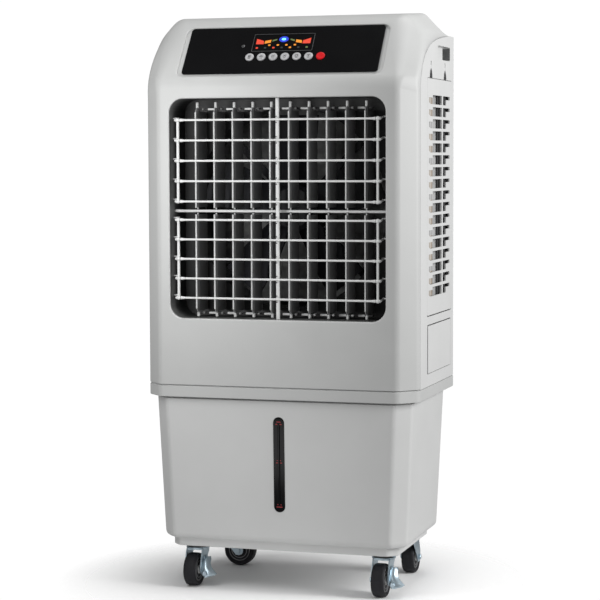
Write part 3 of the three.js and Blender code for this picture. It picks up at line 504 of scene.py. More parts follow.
def add_piece(
    name, form, looks, body="root", replaced=None, slot=None, bevel=0.0, sheet=0.0, smooth_below=32
):
    """Makes a Form into an object that rides on a body, in place of the CAD node named replaced.
    The slot argument is not used. bevel and sheet are in millimetres."""
    looks = [looks] if isinstance(looks, str) else looks
    mesh = bpy.data.meshes.new(name)
    mesh.from_pydata([spot(*p) for p in form.points], [], form.faces)
    mesh.polygons.foreach_set("material_index", form.looks)
    repair(mesh)
    shade(mesh, looks, smooth_below)
    piece = link_new(name, mesh)
    if sheet:
        solidify = piece.modifiers.new("wall", "SOLIDIFY")
        solidify.thickness = sheet * MM
        solidify.offset = -1
    if bevel:
        round_edges(piece, bevel, smooth_below)
    piece.modifiers.new("normals", "WEIGHTED_NORMAL").keep_sharp = True
    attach(piece, body)
    slot or looks[0]
    if replaced:
        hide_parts(replaced)


def dress(node, look, bevel=0.0, smooth_below=30):
    """Gives a CAD node its look, and rounds its edges by a modifier."""
    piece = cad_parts[node]
    piece.data.materials.clear()
    shade(piece.data, [look], smooth_below)
    if bevel:
        flat = piece.modifiers.new("flat", "DECIMATE")
        flat.decimate_type = "DISSOLVE"
        flat.angle_limit = math.radians(0.5)
        round_edges(piece, bevel, smooth_below).harden_normals = True


def dress_nodes():
    """The rear of the casing and what is inside it keep their CAD shapes."""
    for node in ("rear_housing", "left_pad_frame", "right_pad_frame", "rear_pad_frame"):
        dress(node, "side_grey", 0.5)
    # The duct darkens from grey at the outlet's mouth to near black inside: painted shade.
    dress("fan_shroud", "duct_painted_shade", smooth_below=25)
    # The fan and its motor take the near-black tyre rubber: partly their own dark plastic, partly
    # painted shade of the casing's inside.
    dress("fan", "wheel_rubber")
    dress("fan_motor", "wheel_rubber")
    dress("water_distributor", "tray_white", 0.5)
    dress("water_pump", "pump_black", 1.0)


# ---------------- hood


def sampled(start, parts):
    """Points of an outline made of lines (end, steps) and quadratic curves (control, end, steps),
    and the number of the point at each part's end."""
    points = [start]
    stations = [0]
    for *control, end, steps in parts:
        middle = control[0] if control else [(a + b) / 2 for a, b in zip(points[-1], end)]
        points.extend(bezier(points[-1], middle, end, steps))
        stations.append(len(points) - 1)
    return points, stations


def hood_curves():
    """The crown in the middle of the hood and the edge of the side wall, station by station."""
    crown, stations = sampled((0, SEAM), [
        ((0, 1045), 1),
        ((0, 1060), SLOPE_FOOT, 8),
        (SLOPE_HEAD, 14),
        ((105, 1198), (124, 1201), 8),
        ((228, 1208.4), 6),
        ((237.5, 1209.4), (247, 1204), 6),
        ((HOOD_BACK, SHOULDER), 8),
    ])
    edge, _ = sampled((FRONT_CORNER, SEAM), [
        ((FRONT_CORNER, 1030), 1),
        ((44, 1050), (50, 1068), 8),
        ((62, 1108), (112, 1130), 14),
        ((130, 1138), (150, 1143), 8),
        ((190, 1153), (232, 1157), 6),
        ((250, 1159), 6),
        ((HOOD_BACK, SHOULDER), 8),
    ])
    return crown, edge, stations


def hood_rows():
    """Rows of points from the right side wall over the hood to the left one, from the lip at the
    seam upwards, and the rows at the seam, the top of the front wall, and the slope's ends."""
    crown, edge, stations = hood_curves()
    seam, wall, foot, head, _, roof = stations[:6]
    rows = []
    for row, ((cy, cz), (ey, ez)) in enumerate(zip(crown, edge)):
        down = share(row, roof, head)
        soft = share(row, wall, head) * down
        wide = min(share(row, foot, head), down)
        section = corner_section(CRISP + (ROUND - CRISP) * soft)
        corner = FRONT_CORNER + (HEAD_CORNER - FRONT_CORNER) * wide
        right = [(SIDE - corner * u, ey + (cy - ey) * v, ez + (cz - ez) * v) for u, v in section]
        rows.append(right + [(-x, y, z) for x, y, z in right[::-1]])
    inset, low, high = 1.2, SEAM + 0.05, SEAM + 1.4
    lip = [(x * (1 - inset / SIDE), y + inset * (1 - y / DEPTH), low) for x, y, _ in rows[0]]
    rows[0] = [(x, y, high) for x, y, _ in rows[0]]
    return [lip] + rows, [row + 1 for row in (seam, wall, foot, head)]


def make_hood():
    rows, (seam, wall, foot, head) = hood_rows()
    size = len(rows[0])
    middle = size // 2 - 1
    open_rows = {seam, *range(foot, head)}
    form = Form()
    form.add([p for row in rows for p in row])
    for face in quads(len(rows), size, closed=False):
        row, side = divmod(face[0], size)
        if side != middle or row not in open_rows:
            form.cover([face])
    low, high = seam * size + middle, wall * size + middle
    add_opening(form, [low, low + 1, high + 1, high], outlet_rings())
    left = [row * size + middle for row in range(foot, head + 1)]
    add_opening(form, left + [index + 1 for index in left[::-1]], recess_rings())
    add_piece("hood_shell", form, "housing_grey", replaced="front_housing", sheet=SHEET)


def add_opening(form, outer, rings):
    """Fills from an outline of existing points to the first ring, then skins the other rings."""
    size = len(rings[0])
    start = form.add([p for ring in rings for p in ring])
    hole = list(range(start, start + size))
    flat = [[form.points[index] for index in loop] for loop in (outer, hole)]
    numbers = [*outer, *hole]
    form.cover([[numbers[i] for i in face] for face in tessellate_polygon(flat)])
    form.cover([[start + i for i in face] for face in quads(len(rings), size)])


def outlet_rings(radius=3.2, steps=5):
    """The outlet's rounded rim, from the front wall inwards."""
    rings = []
    for step in range(steps + 1):
        angle = math.pi / 2 * step / steps
        grow, deep = radius * (1 - math.sin(angle)), radius * (1 - math.cos(angle))
        outline = rounded(
            -OUTLET["half"] - grow, OUTLET["half"] + grow,
            OUTLET["bottom"] - grow, OUTLET["top"] + grow, OUTLET["corner"] + grow, 10,
        )
        rings.append([(x, deep, z) for x, z in outline])
    return rings


def recess_rings():
    """The rounded edge of the panel's recess, its walls and its floor, which is open behind."""
    deep = RECESS["depth"]
    steps = (
        (2.2, 0), (0.9, -0.35), (0.25, -1.1), (0, -2.2),
        (0, 1 - deep), (-0.3, 0.3 - deep), (-1, -deep), (-18, -deep),
    )
    half = PANEL["half"] + RECESS["side"]
    low, high = -PANEL["tall"] - RECESS["below"], PANEL["tall"] + RECESS["above"]
    rings = []
    for grow, out in steps:
        outline = rounded(
            -half - grow, half + grow, low - grow, high + min(grow, 0.3),
            PANEL["corner"] + RECESS["side"], 8,
        )
        rings.append([on_slope(u, v, out) for u, v in outline])
    return rings


# ---------------- control panel


def make_panel():
    loops = [rounded(-PANEL["half"], PANEL["half"], -PANEL["tall"], PANEL["tall"], PANEL["corner"])]
    for index in range(KEYS):
        u0 = KEY["first"] + KEY["pitch"] * index
        loops.append(oval(u0, KEY["up"], KEY["hole"], KEY["hole"])[::-1])
    form = Form()
    form.plate(loops, PANEL["thick"], lambda u, v, w: on_slope(u, v, PANEL["back"] + w))
    add_piece("panel_plate", form, "panel_black", replaced="control_panel")


def make_display():
    left, right, low, high, corner, border = DISPLAY.values()
    inside = rounded(left, right, low, high, corner)
    outside = rounded(left - border, right + border, low - border, high + border, corner * 1.5)
    window, rim, lens = Form(), Form(), Form()
    window.plate([inside], 0.4, on_panel, 0.1)
    add_piece("display_window", window, "glass_black", slot="panel_black")
    rim.plate([outside, inside[::-1]], 0.6, on_panel, 0.15)
    add_piece("display_frame", rim, "frame_grey", slot="panel_black")
    make_display_print()
    profile = [(0, 1.2), (2, 1.0), (3.6, 0.3), (3.8, 0), (0, 0)]
    lens.turned(profile, on_panel(*SENSOR), SLOPE_NORMAL, 20)
    add_piece("sensor_lens", lens, "frame_grey", slot="panel_black")


def make_display_print():
    """Lit segments: a fan of wedges either side of a round lamp, and two rows of small lamps."""
    looks = ["lamp_red", "lamp_orange", "lamp_green", "lamp_blue", "lamp_cyan", "lamp_dim"]
    red, orange, green, blue, cyan, dim = range(6)
    middle = (DISPLAY["left"] + DISPLAY["right"]) / 2
    low, thick = 0.42, 0.15
    wedges = (
        (red, [(58.5, 29.5), (42.4, 23.4), (41.8, 15.2), (58.5, 15.2)]),
        (orange, [(39.6, 23.6), (27.0, 26.2), (27.0, 18.8), (40.2, 16.4)]),
        (green, [(24.0, 25.6), (14.4, 28.6), (14.6, 25.0), (24.0, 21.4)]),
    )
    form = Form()
    for look, points in wedges:
        for side in (-1, 1):
            outline = [(middle + side * u, v) for u, v in points][::-side]
            form.slab(outline, on_panel, low, low + thick, look)
    for look, wide, tall, lift in ((blue, 10.3, 7.6, thick), (cyan, 4.8, 3.2, 2 * thick)):
        form.slab(oval(middle, 27.2, wide, tall), on_panel, low, low + lift, look)
    lamps = [(orange, -31.4 + 18.4 * index, 12) for index in range(4)]
    for index, look in enumerate((red, dim, red, dim, orange, dim, green)):
        lamps.append((look, -57.2 + 17.9 * index, 5.2))
    for look, u, v in lamps:
        outline = rounded(u - 2.5, u + 2.5, v - 2, v + 2, 1.2, 3)
        form.slab(outline, on_panel, low, low + thick, look)
    add_piece("display_print", form, looks, slot="panel_black")


# The generic sign on each key, as strokes (u0, v0, u1, v1) from its middle, and the line under it.
SIGNS = (
    [(-3, 2.6, 3, 2.6), (-3, 0.4, 3, 0.4), (-3, -1.8, 3, -1.8)],
    [(-3.4, -1, 0, 3), (0, 3, 3.4, -1), (-3.4, -1, 3.4, -1)],
    [(-3.2, -1.6, 3.2, 3), (-3.2, 2.6, -0.6, 2.6), (1, -1.4, 3.4, -1.4)],
    [(-2.8, 3, 2.8, -1.6), (-2.8, -1.6, 2.8, 3)],
    [(-2.6, 3, 2.6, 3), (2.6, 3, 2.6, -1.4), (2.6, -1.4, -2.6, -1.4), (-2.6, -1.4, -2.6, 3)],
    [(-3.2, 2.8, 3.2, 2.8), (0, 2.8, 0, -1.4), (-2, -1.4, 2, -1.4)],
    [
        (0, 4, 0, 0.6), (-2.4, 2.2, -2.9, -0.6), (-2.9, -0.6, 0, -2.8),
        (0, -2.8, 2.9, -0.6), (2.9, -0.6, 2.4, 2.2),
    ],
)
UNDERLINE = (-2.6, -4.6, 2.6, -4.6)
STROKE_HALF = 0.42


def sign_form(u0, v0, strokes):
    form = Form()
    for ua, va, ub, vb in strokes:
        along = Vector((ub - ua, vb - va)).normalized()
        du, dv = -along.y * STROKE_HALF, along.x * STROKE_HALF
        outline = [(ua - du, va - dv), (ub - du, vb - dv), (ub + du, vb + dv), (ua + du, va + dv)]
        form.slab([(u0 + u, v0 + v) for u, v in outline], on_panel, 1.9, 2.4)
    return form


def make_keys():
    radius = KEY["radius"]
    profile = [
        (0, -5), (radius, -5), (radius, 1.1), (radius - 0.35, 1.8), (radius - 1.1, 2.25),
        (radius - 2.2, 2.3), (radius * 0.45, 2.05), (0, 2.0),
    ]
    for index in range(KEYS):
        power = index == KEYS - 1
        name = "power_button" if power else f"button_{index + 1}"
        look = "key_red" if power else "key_silver"
        u0 = KEY["first"] + KEY["pitch"] * index
        cap = Form()
        cap.turned(profile, on_panel(u0, KEY["up"]), SLOPE_NORMAL, 40)
        add_piece(f"{name}_cap", cap, look, name, name)
        sign = sign_form(u0, KEY["up"], SIGNS[index] + ([] if power else [UNDERLINE]))
        add_piece(f"{name}_sign", sign, look if power else "print_dark", name, slot=look)


# ---------------- side and rear


def make_grip_shade():
    """Dark plates at the back of the hand-holds: painted shade."""
    form = Form()
    for side in (-1, 1):
        xs = sorted((side * (SIDE - 25.8), side * (SIDE - 0.6)))
        form.block(xs, (309, 309.8), (1110.3, 1138.7))
    add_piece("grip_shade_plates", form, "grip_grey", slot="dark_plastic")


def make_filler_door():
    """The door plate with a groove along its front and top edges whose near-black is painted shade
    of the gap round the door, and the chute behind it.
    """
    front, back, bottom, top, corner, thick = DOOR.values()
    form = Form()
    form.plate([rounded(front, back, bottom, top, corner)], thick, along_x(SIDE - thick))
    # The groove's near-black colour is painted shade.
    groove = rounded(front - 7.5, back - 0.1, bottom, top + 2.1, corner)
    form.plate([groove], 2.0, along_x(SIDE - 3.9), 0.3, 1)
    apron = [(289.6, 468), (289.6, 470.5), (255, 474.5), (255, 472)]
    cheek = [(289.6, 468), (289.6, 553), (267, 548), (253, 528), (249, 494), (255, 472)]
    for outline, y0, y1 in ((apron, 113, 309), (cheek, 112, 114.5), (cheek, 307.5, 310)):
        form.slab(outline, lambda x, z, y: (x, y, z), y0, y1)
    looks = ["side_grey", "frame_grey"]
    add_piece("door_plate", form, looks, "filler_door", "filler_door", smooth_below=30)


def make_latches():
    """Black catches of the pad frames, flush in their slots, each with a pale tongue above it."""
    low = LATCH_FOOT
    catch = [(-11.6, low), (11.6, low), (11.6, low + 3.4)]
    catch += bezier((11.6, low + 3.4), (8.6, low + 15), (2.6, low + 18.6), 5)
    catch += [(-u, v) for u, v in catch[:2:-1]] + [(-11.6, low + 3.4)]
    tongue = rounded(-2.6, 2.6, low + 19.4, low + 26, 1.2, 3)
    neck = rounded(-2.6, 2.6, low + 27, low + 33.6, 0.8, 2)
    looks = ["dark_plastic", "guide_white", "side_grey"]
    for side, word in ((1, "right"), (-1, "left")):
        form = Form()
        for y in LATCHES:
            layers = ((catch, 292.6), (tongue, 292.8), (neck, 291.6))
            for look, (outline, face) in enumerate(layers):
                outline = [(y + u, v) for u, v in outline]
                form.slab(outline, along_x(), side * 288, side * face, look)
        add_piece(f"{word}_latches", form, looks, bevel=0.3)


def make_emblem():
    """A plain drop in the filler door. Its face is 0.02 mm below the door's: it doesn't show."""
    drop = [(0, DROP["tip"])]
    for degrees in range(30, -211, -12):
        angle = math.radians(degrees)
        drop.append((DROP["radius"] * math.cos(angle), DROP["radius"] * math.sin(angle)))
    inner = [(u * 0.88, v * 0.88 + 0.6) for u, v in drop]
    loops = [[(DROP["y"] + u, DROP["z"] + v) for u, v in loop] for loop in (drop[::-1], inner)]
    form = Form()
    form.plate(loops, DROP["thick"], along_x(SIDE - 0.35), 0.05)
    add_piece("door_drop", form, "tank_grey", "filler_door", slot="side_grey")


def pad_form(start, end, face, back, place):
    """A pad from back to the wavy outside of its sheets at face. place(along, depth, z) places
    its points."""
    low, high, pitch = PAD["low"], PAD["high"], PAD["pitch"]
    rings = []
    for step in range((end - start) // pitch + 1):
        wave = face + 1.2 * math.sin(step * math.pi / 2 + 0.6)
        corners = (wave, low), (wave, high), (back, high), (back, low)
        rings.append([place(start + pitch * step, depth, z) for depth, z in corners])
    form = Form()
    form.loft(rings)
    return form


def make_pads():
    """The side pads show sheets in their front half, and behind them a dark block that is painted
    shade of the deep rear of the slots. A strip closes the gap below the rear pad."""
    inner = PAD["inner"]
    for word, side in (("right", 1), ("left", -1)):
        form = pad_form(110, 222, PAD["face"], inner, lambda y, x, z: (side * x, y, z))
        # A dark block behind the sheets: painted shade of the deep rear of the side slots.
        shade_block = Form()
        shade_block.block(sorted((side * inner, side * 285)), (223, 300), (PAD["low"], PAD["high"]))
        pad = f"{word}_pad"
        add_piece(f"{pad}_sheets", form, "pad_fibre", replaced=pad, smooth_below=50)
        add_piece(f"{pad}_net", shade_block, "dark_plastic", replaced=pad, slot="pad_fibre")
    form = pad_form(-227, 227, PAD["rear_face"], 308, lambda x, y, z: (x, y, z))
    seal = Form()
    seal.block((-227, 227), (364.5, 368.5), (572, 589))
    add_piece("rear_pad_seal", seal, "dark_plastic")
    add_piece("rear_pad_sheets", form, "pad_fibre", replaced="rear_pad", smooth_below=50)


# ---------------- tank


def make_tank():
    """One skin from the groove under the seam down to the plinth, each row a plan, a height and
    an inset. The rim has the hood's grey."""
    rows = (
        (RIM, SEAM - 0.5, 2.6), (RIM, SEAM - 1.6, 2.6), (RIM, SEAM - 1.9, 0.6), (RIM, SEAM - 2.6),
        (RIM, RIM_BOTTOM + 1.6), (RIM, RIM_BOTTOM + 0.5, 0.4), (RIM, RIM_BOTTOM, 1.6),
        (TANK_TOP, RIM_BOTTOM, 7), (TANK_TOP, RIM_BOTTOM - 4.2, 7),
        (TANK_TOP, RIM_BOTTOM - 4.2, 0.8), (TANK_TOP, RIM_BOTTOM - 5),
        (TANK_LOW, TANK_BOTTOM + 14), (TANK_LOW, TANK_BOTTOM + 10, 0.5),
        (TANK_LOW, TANK_BOTTOM + 6, 2), (TANK_LOW, TANK_BOTTOM + 2.8, 4.6),
        (TANK_LOW, TANK_BOTTOM + 0.8, 8), (TANK_LOW, TANK_BOTTOM, 11.5),
        (PLINTH, TANK_BOTTOM), (PLINTH, PLINTH_BOTTOM + 1.5), (PLINTH, PLINTH_BOTTOM, 1.5),
    )
    form = Form()
    form.loft([plan_ring(*row) for row in rows[::-1]])
    lowest = [min(form.points[i].z for i in face) for face in form.faces]
    form.looks = [int(z > RIM_BOTTOM - 0.1) for z in lowest]
    add_piece("tank_shell", form, ["tank_grey", "housing_grey"], replaced="water_tank")
    feet = Form()
    for x, y, _, _ in CASTERS.values():
        feet.block((x - 34, x + 34), (y - 30, y + 30), (SEAT_LEVEL + 0.2, TANK_BOTTOM + 1))
    add_piece("caster_feet", feet, "tank_grey", bevel=2)


def make_gauge():
    half, bottom, top = GAUGE.values()
    outline = rounded(-half, half, bottom, top, half - 0.05, 10)
    form, tube, marks = Form(), Form(), Form()
    form.plate([outline], 1.8, lambda u, v, w: on_tank(u, v, w - 1.0), 0.35)
    add_piece("gauge_window", form, "panel_black", replaced="level_window")
    tube.rod(on_tank(0, bottom + 14, 0.4), on_tank(0, top - 14, 0.4), 2.6, 14, dome=0.6)
    add_piece("gauge_tube", tube, "glass_black", slot="panel_black")
    for height in (top - 15, (bottom + top) / 2 + 4, bottom + 11):
        for middle, wide in ((height, 6.5), (height + 5, 4.5)):
            outline = rounded(-wide, wide, middle - 0.9, middle + 0.9, 0.6, 3)
            marks.slab(outline, on_tank, 0.6, 1.1)
    add_piece("gauge_marks", marks, "mark_red", slot="panel_black")


# ---------------- outlet


def vane_x(index):
    return (index - (VANES - 1) / 2) * VANE["pitch"]


def make_louvre_frame():
    """The centre post and the cross bar behind it, with near-black blocks where bars and vanes
    pass: painted shade of the notches there.
    """
    slack = 0.4
    low, high = OUTLET["bottom"] + slack, OUTLET["top"] - slack
    half = OUTLET["half"] - slack
    form = Form()
    form.slab(rounded(-3.9, 3.9, 12, 17, 2.2), lambda x, y, z: (x, y, z), low, high)
    form.slab(rounded(34, 44, *CROSS_BAR, 2, 4), along_x(), -half, half)
    form.block((-3.5, 3.5), (16, 35), (CROSS_BAR[0] + 0.5, CROSS_BAR[1] - 0.6))
    add_piece("louvre_post", form, "guide_white", replaced="louvre_frame", smooth_below=40)
    # Near-black blocks beside the bars on the post and at the spindles on the cross bar: painted
    # shade.
    notch_shade = Form()
    for top, pitch in BAR_GROUPS.values():
        for row in range(BARS):
            for step in (-6.4, 6.4):
                z = top - row * pitch + step
                notch_shade.block((-4.1, -0.6), (11.6, 16.8), (z - 1.2, z + 1.2))
    for index in range(VANES):
        x = vane_x(index)
        notch_shade.block((x - 1.5, x + 4.5), (33.7, 44.2), (CROSS_BAR[0] - 0.6, CROSS_BAR[0] + 1))
    add_piece("louvre_notch_shade", notch_shade, "frame_grey", slot="guide_white", bevel=0.3)


def vane_form(x):
    """Two blades with a pale bead along their front edge, a painted highlight of the lit edge, and
    white bushes on one spindle.
    """
    front, back, thick, pivot = VANE["front"], VANE["back"], VANE["thick"], VANE["pivot"]
    upper = [
        (front, 804), (back, 804), (back, 1003), (54, 1003),
        (51, 1010.5), (33, 1010.5), (front, 1001),
    ]
    lower = [(front, 789), (front, 594), (31, 587.5), (back, 587.5), (back, 789)]
    form = Form()
    for outline in (upper, lower):
        form.plate([outline], thick, along_x(x - thick / 2), 0.3)
    # The pale bead is a painted highlight of the blade's lit front edge.
    for z0, z1 in ((804, 1001), (594, 789)):
        form.rod((x, front - 0.1, z0), (x, front - 0.1, z1), 1.75, 12, 1, dome=0.6)
    bushes = ((1010.4, 1021.5, 3.0), (577, 584.5, 3.0), (790.5, 793.4, 1.7), (800.4, 803.6, 1.7))
    for z0, z1, radius in bushes:
        form.rod((x, pivot, z0), (x, pivot, z1), radius, 16, 1, dome=0.3)
    for z0, z1 in ((584, 790.5), (803.5, 1011)):
        form.rod((x, pivot, z0), (x, pivot, z1), 2.2, 12)
    return form


def make_vanes():
    # The blades are a darker copy of the pale plastic that darkens further towards the back:
    # painted shade.
    looks = ["vane_grey", "guide_white"]
    for index in range(VANES):
        name = f"vane_{index + 1:02d}"
        add_piece(f"{name}_blades", vane_form(vane_x(index)), looks, name, name, smooth_below=40)


def make_vane_links():
    """Two bars that join the vanes, dark along their length, with a pale stretch and an eye between
    neighbours.
    """
    half, y, tall = LINK["half"], LINK["y"], LINK["tall"]
    body, slot = "vane_link", "guide_white"
    for level, replaced in (("upper", body), ("lower", None)):
        low = LINK[level]
        core = Form()
        core.block((-half, half), (y - 2.5, y + 2.5), (low, low + tall))
        add_piece(f"{level}_link_bar", core, "dark_plastic", body, replaced, slot, 0.5)
        sleeves = Form()
        for index in range(VANES - 1):
            x = vane_x(index)
            sleeves.block((x + 16, x + 31), (y - 3.4, y + 3.4), (low - 0.5, low + tall + 0.5))
            eye = x + 4.5
            sleeves.rod((eye, y - 4.4, low + 1.6), (eye, y + 4, low + 1.6), 2.5, 14, dome=0.4)
        add_piece(f"{level}_link_sleeves", sleeves, slot, body, bevel=0.6)


def bar_form(z):
    """A guide bar with its end knobs, and the two arms that lead back to its pivots."""
    form = Form()
    y = BAR["y"]
    section = rounded(-2.0, 2.0, -2.15, 2.15, 1.6, 4)
    flares = ((-209.6, 1.5), (-207.5, 1.5), (-200, 1.0), (200, 1.0), (207.5, 1.5), (209.6, 1.5))
    form.loft([[(x, y + a * grow, z + b * grow) for a, b in section] for x, grow in flares])
    knob = [(0, -2.2), (2.4, -1.9), (3.9, -0.6), (4.1, 0.4), (3.6, 0.8), (0, 0.8)]
    back, up = y + BAR["pivot_back"], z + BAR["pivot_up"]
    arm = [(y - 1.6, z - 1.8), (back + 2, up - 1.8), (back + 2, up + 1.8), (y - 1.6, z + 1.8)]
    for side in (-1, 1):
        form.rod((side * 209, y, z), (side * 219, y, z), 1.6, 12)
        form.rod((side * 217.6, y, z), (side * 219, y, z), 3.3, 16, dome=0.4)
        form.turned(knob, (side * 214, y - 2.8, z), (0, 1, 0), 20)
        form.slab(arm, along_x(), side * 218.6, side * 221.4)
        form.rod((side * 220, back, up), (side * 233, back, up), 1.6, 12)
    return form


def make_bars():
    look = "guide_white"
    for group, (top, pitch) in BAR_GROUPS.items():
        for row in range(BARS):
            name = f"{group}_bar_{row + 1}"
            add_piece(f"{name}_rod", bar_form(top - row * pitch), look, name, name, bevel=0.5)
        low = top - (BARS - 1) * pitch
        outline = rounded(BAR["y"] - 2.5, BAR["y"] + 2.7, low - 4.2, top + 4.2, 2.5)
        for word, side in (("left", -1), ("right", 1)):
            name = f"{group}_rail_{word}"
            form = Form()
            form.slab(outline, along_x(), side * RAIL[0], side * RAIL[1])
            add_piece(f"{name}_strip", form, look, name, name, bevel=0.7)


# ---------------- casters


def fork_form(nuts):
    """Two legs, their bridge, the swivel race above it and the axle with its nuts."""
    leg = [
        (-36, 31), (-33, 26.5), (-27, 24), (-19, 25), (4, 55),
        (18, 69), (18, 78), (-23, 78), (-36, 47),
    ]
    form = Form()
    for inside in (16.2, -18.7):
        form.plate([leg], 2.5, along_x(inside))
    form.block((-18.6, 18.6), (-22.5, 18), (75.2, 78))
    race = [
        (0, 76), (20, 76), (25, 77.4), (25, 80), (21, 81),
        (21, 83), (25, 84), (25, 86.8), (0, 86.8),
    ]
    form.turned(race, (0, 0, 0), UP, 36)
    form.turned([(21.2, 81), (23.6, 81), (23.6, 83), (21.2, 83)], (0, 0, 0), UP, 36, 1)
    nut = [(0, 0), (6.2, 0), (6.2, 3.2), (5.2, 4), (0, 4)]
    for side in nuts:
        form.turned(nut, (side * 18.7, -TRAIL, WHEEL_RADIUS), (side, 0, 0), 6)
    form.rod((-18, -TRAIL, WHEEL_RADIUS), (18, -TRAIL, WHEEL_RADIUS), 4.8, 16)
    return form


def wheel_form():
    """Tyre, rim, disc and hub, turned about the axle, with two pale rings on each face."""
    tyre = [(26, -11), (28.6, -12.8), (31, -13.8), (33.6, -12), (34.8, -8.5), (WHEEL_RADIUS, 0)]
    tyre += [(radius, -along) for radius, along in tyre[-2::-1]]
    rim = [(21, -9.5), (26.2, -9.5), (26.2, 9.5), (21, 9.5)]
    disc = [(9, -10.5), (21.2, -10.5), (21.2, 10.5), (9, 10.5)]
    hub = [(5.4, -13.8), (6.4, -13.8), (8.8, -12.8), (9.2, -10)]
    hub += [(radius, -along) for radius, along in hub[::-1]]
    profiles = [(tyre, 56, 0), (rim, 48, 0), (disc, 40, 0), (hub, 40, 2)]
    for ring in (17.5, 23.6):
        for low, high in ((-9, -11.6), (9, 11.6)):
            lip = [(ring - 1, low), (ring + 1, low), (ring + 0.7, high), (ring - 0.7, high)]
            profiles.append((lip, 40, 1))
    form = Form()
    for profile, steps, look in profiles:
        form.turned(profile, (0, -TRAIL, WHEEL_RADIUS), (1, 0, 0), steps, look)
    return form


def pedal_form():
    """A pressed plate that hangs beside the wheel and flares outwards at its foot, with the lock
    nut. Each row is a height, its left and right end, and how far forward it stands."""
    rows = (
        (5, 3, 12, -7), (0, 0.2, 15, -12), (-8, 0.2, 15, -17), (-16, 0.2, 19, -22),
        (-23, 0.2, 27, -26), (-28, 0.6, 33, -28), (-31.5, 3, 28, -29.5), (-35, 7, 17, -30.5),
    )
    thick, steps = 2.4, 6
    rings = []
    for z, left, right, y in rows:
        front = []
        for step in range(steps + 1):
            t = step / steps
            bulge = 3.2 * math.sin(math.pi * t) - 5 * t * t
            front.append((left + (right - left) * t, y - bulge, z))
        rings.append(front + [(x, y + thick, z) for x, y, z in front[::-1]])
    form = Form()
    form.loft(rings)
    form.turned([(0, -5), (4.2, -5), (5.4, -4), (5.4, 3), (0, 3)], (9, -29, -27), (0, 1, 0.1), 6)
    form.block((0.2, 2.6), (-12, 8), (-12, 6))
    return form


def seat_form():
    """The caster's top plate with four bolt heads and a washer under it."""
    half_x, half_y = 34.5, 30.5
    outline = rounded(-half_x, half_x, -half_y, half_y, 5)
    form = Form()
    form.plate([outline], 2.6, lambda u, v, w: (u, v, SEAT_LEVEL + w))
    bolt = [(0, -2.6), (3.4, -2.6), (4.2, -1.8), (4.2, 0.4), (0, 0.4)]
    for x in (-26, 26):
        for y in (-22, 22):
            form.turned(bolt, (x, y, SEAT_LEVEL), UP, 6)
    form.turned([(0, -0.3), (12, -0.3), (12, 0.6), (0, 0.6)], (0, 0, SEAT_LEVEL), UP)
    return form


def make_casters():
    """Forms are drawn about the swivel axis with the wheel towards -Y, then turned and placed."""
    for name, (x, y, turn, brake) in CASTERS.items():
        foot = Vector((x, y, 0))
        spin = Matrix.Rotation(math.radians(turn), 3, "Z")

        def place(point):
            return spin @ point + foot

        fork, wheel, seat = fork_form((-1,) if brake else (-1, 1)), wheel_form(), seat_form()
        node = f"{name}_fork"
        fork.move(place)
        add_piece(f"{name}_bracket", fork, ["zinc", "motor_black"], node, node, smooth_below=30)
        node = f"{name}_wheel"
        wheel.move(place)
        looks = ["wheel_rubber", "hub_grey", "guide_white"]
        add_piece(f"{name}_tyre", wheel, looks, node, node, smooth_below=40)
        seat.move(lambda p: p + foot)
        add_piece(f"{name}_seat", seat, "zinc", smooth_below=30)
        if brake:
            node = f"{name}_brake_pedal"
            pedal = pedal_form()
            pedal.move(lambda p: place(p + PEDAL_PIVOT))
            add_piece(f"{name}_pedal", pedal, "zinc", node, node, smooth_below=30)


# ---------------- stage, light and camera


def make_floor(radius=6.0, steps=96):
    """A round pale floor that fades into the white surroundings. Its sizes are in metres."""
    mesh = bpy.data.meshes.new("floor")
    ring = [(x, y, 0) for x, y in oval(0, 0, radius, radius, steps)]
    mesh.from_pydata(ring, [], [list(range(steps))])
    tree, shader, where = shader_graph("floor")
    tint = blended(tree, noise_at(tree, where, 3.0), (0.93, 0.93, 0.93), (0.95, 0.95, 0.95))
    feed(tree, shader, {"Base Color": tint, "Roughness": 0.9})
    distance = add_node(tree, "ShaderNodeVectorMath", {0: where}, operation="LENGTH")
    fade = ramp_between(tree, distance.outputs["Value"], 0.27, 0.54)
    clear = add_node(tree, "ShaderNodeBsdfTransparent", {})
    inputs = {0: fade, 1: shader.outputs[0], 2: clear.outputs[0]}
    mix = add_node(tree, "ShaderNodeMixShader", inputs)
    feed(tree, tree.nodes["Material Output"], {"Surface": mix.outputs[0]})
    mesh.materials.append(LOOKS["floor"])
    link_new("floor", mesh)


def add_light(name, where, target, size, power):
    data = bpy.data.lights.new(name, "AREA")
    data.shape = "RECTANGLE"
    data.size, data.size_y = size
    data.energy = power
    light = link_new(name, data)
    light.visible_camera = False
    light.location = where
    towards = Vector(target) - Vector(where)
    light.rotation_euler = towards.to_track_quat("-Z", "Y").to_euler()


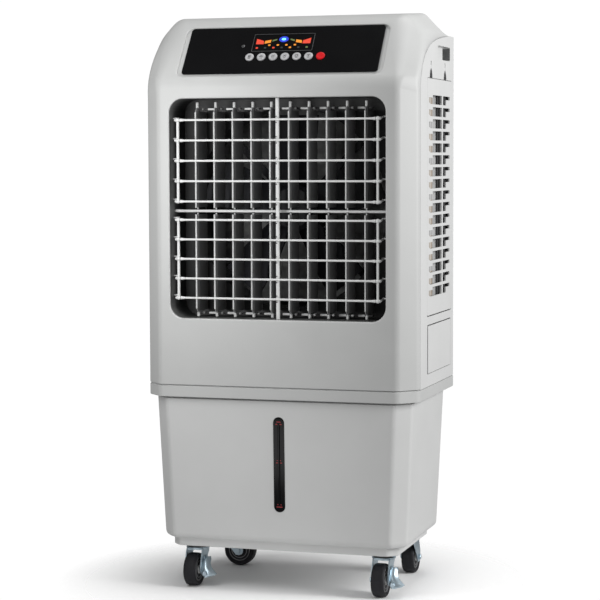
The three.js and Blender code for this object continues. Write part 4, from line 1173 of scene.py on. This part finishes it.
def make_light():
    """White surroundings that light the object softly, and four lights that shape it."""
    scene = bpy.context.scene
    scene.view_settings.view_transform = "Standard"
    world = bpy.data.worlds.new("surroundings")
    world.use_nodes = True
    tree = world.node_tree
    tree.nodes.clear()
    path = tree.nodes.new("ShaderNodeLightPath").outputs["Is Camera Ray"]
    glow, seen = (
        add_node(tree, "ShaderNodeBackground", {"Color": (1, 1, 1, 1), "Strength": strength})
        for strength in (0.28, 1.02)
    )
    inputs = {0: path, 1: glow.outputs[0], 2: seen.outputs[0]}
    mix = add_node(tree, "ShaderNodeMixShader", inputs)
    add_node(tree, "ShaderNodeOutputWorld", {"Surface": mix.outputs[0]})
    scene.world = world
    add_light("top", (0.45, -0.05, 3.2), (0, 0, 0.3), (1.3, 1.3), 31)
    add_light("front", (-0.30, -0.72, 0.97), (-0.25, -0.19, 0.97), (0.2, 0.75), 3.9)
    add_light("low", (-0.25, -0.9, 0.15), (-0.1, -0.17, 0.15), (0.7, 0.15), 1.1)
    add_light("right", (2.3, -0.3, 1.3), (0.2, 0, 0.75), (0.9, 1.4), 51)


def make_camera():
    """A long lens, 17.1 degrees round to +X and looking 4.1 degrees down."""
    data = bpy.data.cameras.new("camera")
    data.sensor_width = 36
    data.lens = 120
    camera = link_new("camera", data)
    azimuth, pitch, roll = math.radians(17.1), math.radians(4.1), math.radians(-0.2)
    level = math.cos(pitch)
    look = Vector((-math.sin(azimuth) * level, math.cos(azimuth) * level, -math.sin(pitch)))
    turn = look.to_track_quat("-Z", "Y") @ Matrix.Rotation(roll, 3, "Z").to_quaternion()
    camera.rotation_mode = "QUATERNION"
    camera.rotation_quaternion = turn
    camera.location = (1.2479, -4.0749, 0.9089)
    bpy.context.scene.camera = camera


make_looks()
make_camera()
make_light()
make_floor()
make_hood()
make_panel()
make_display()
make_keys()
make_grip_shade()
make_filler_door()
make_latches()
make_emblem()
make_pads()
make_tank()
make_gauge()
make_louvre_frame()
make_vanes()
make_vane_links()
make_bars()
make_casters()
dress_nodes()
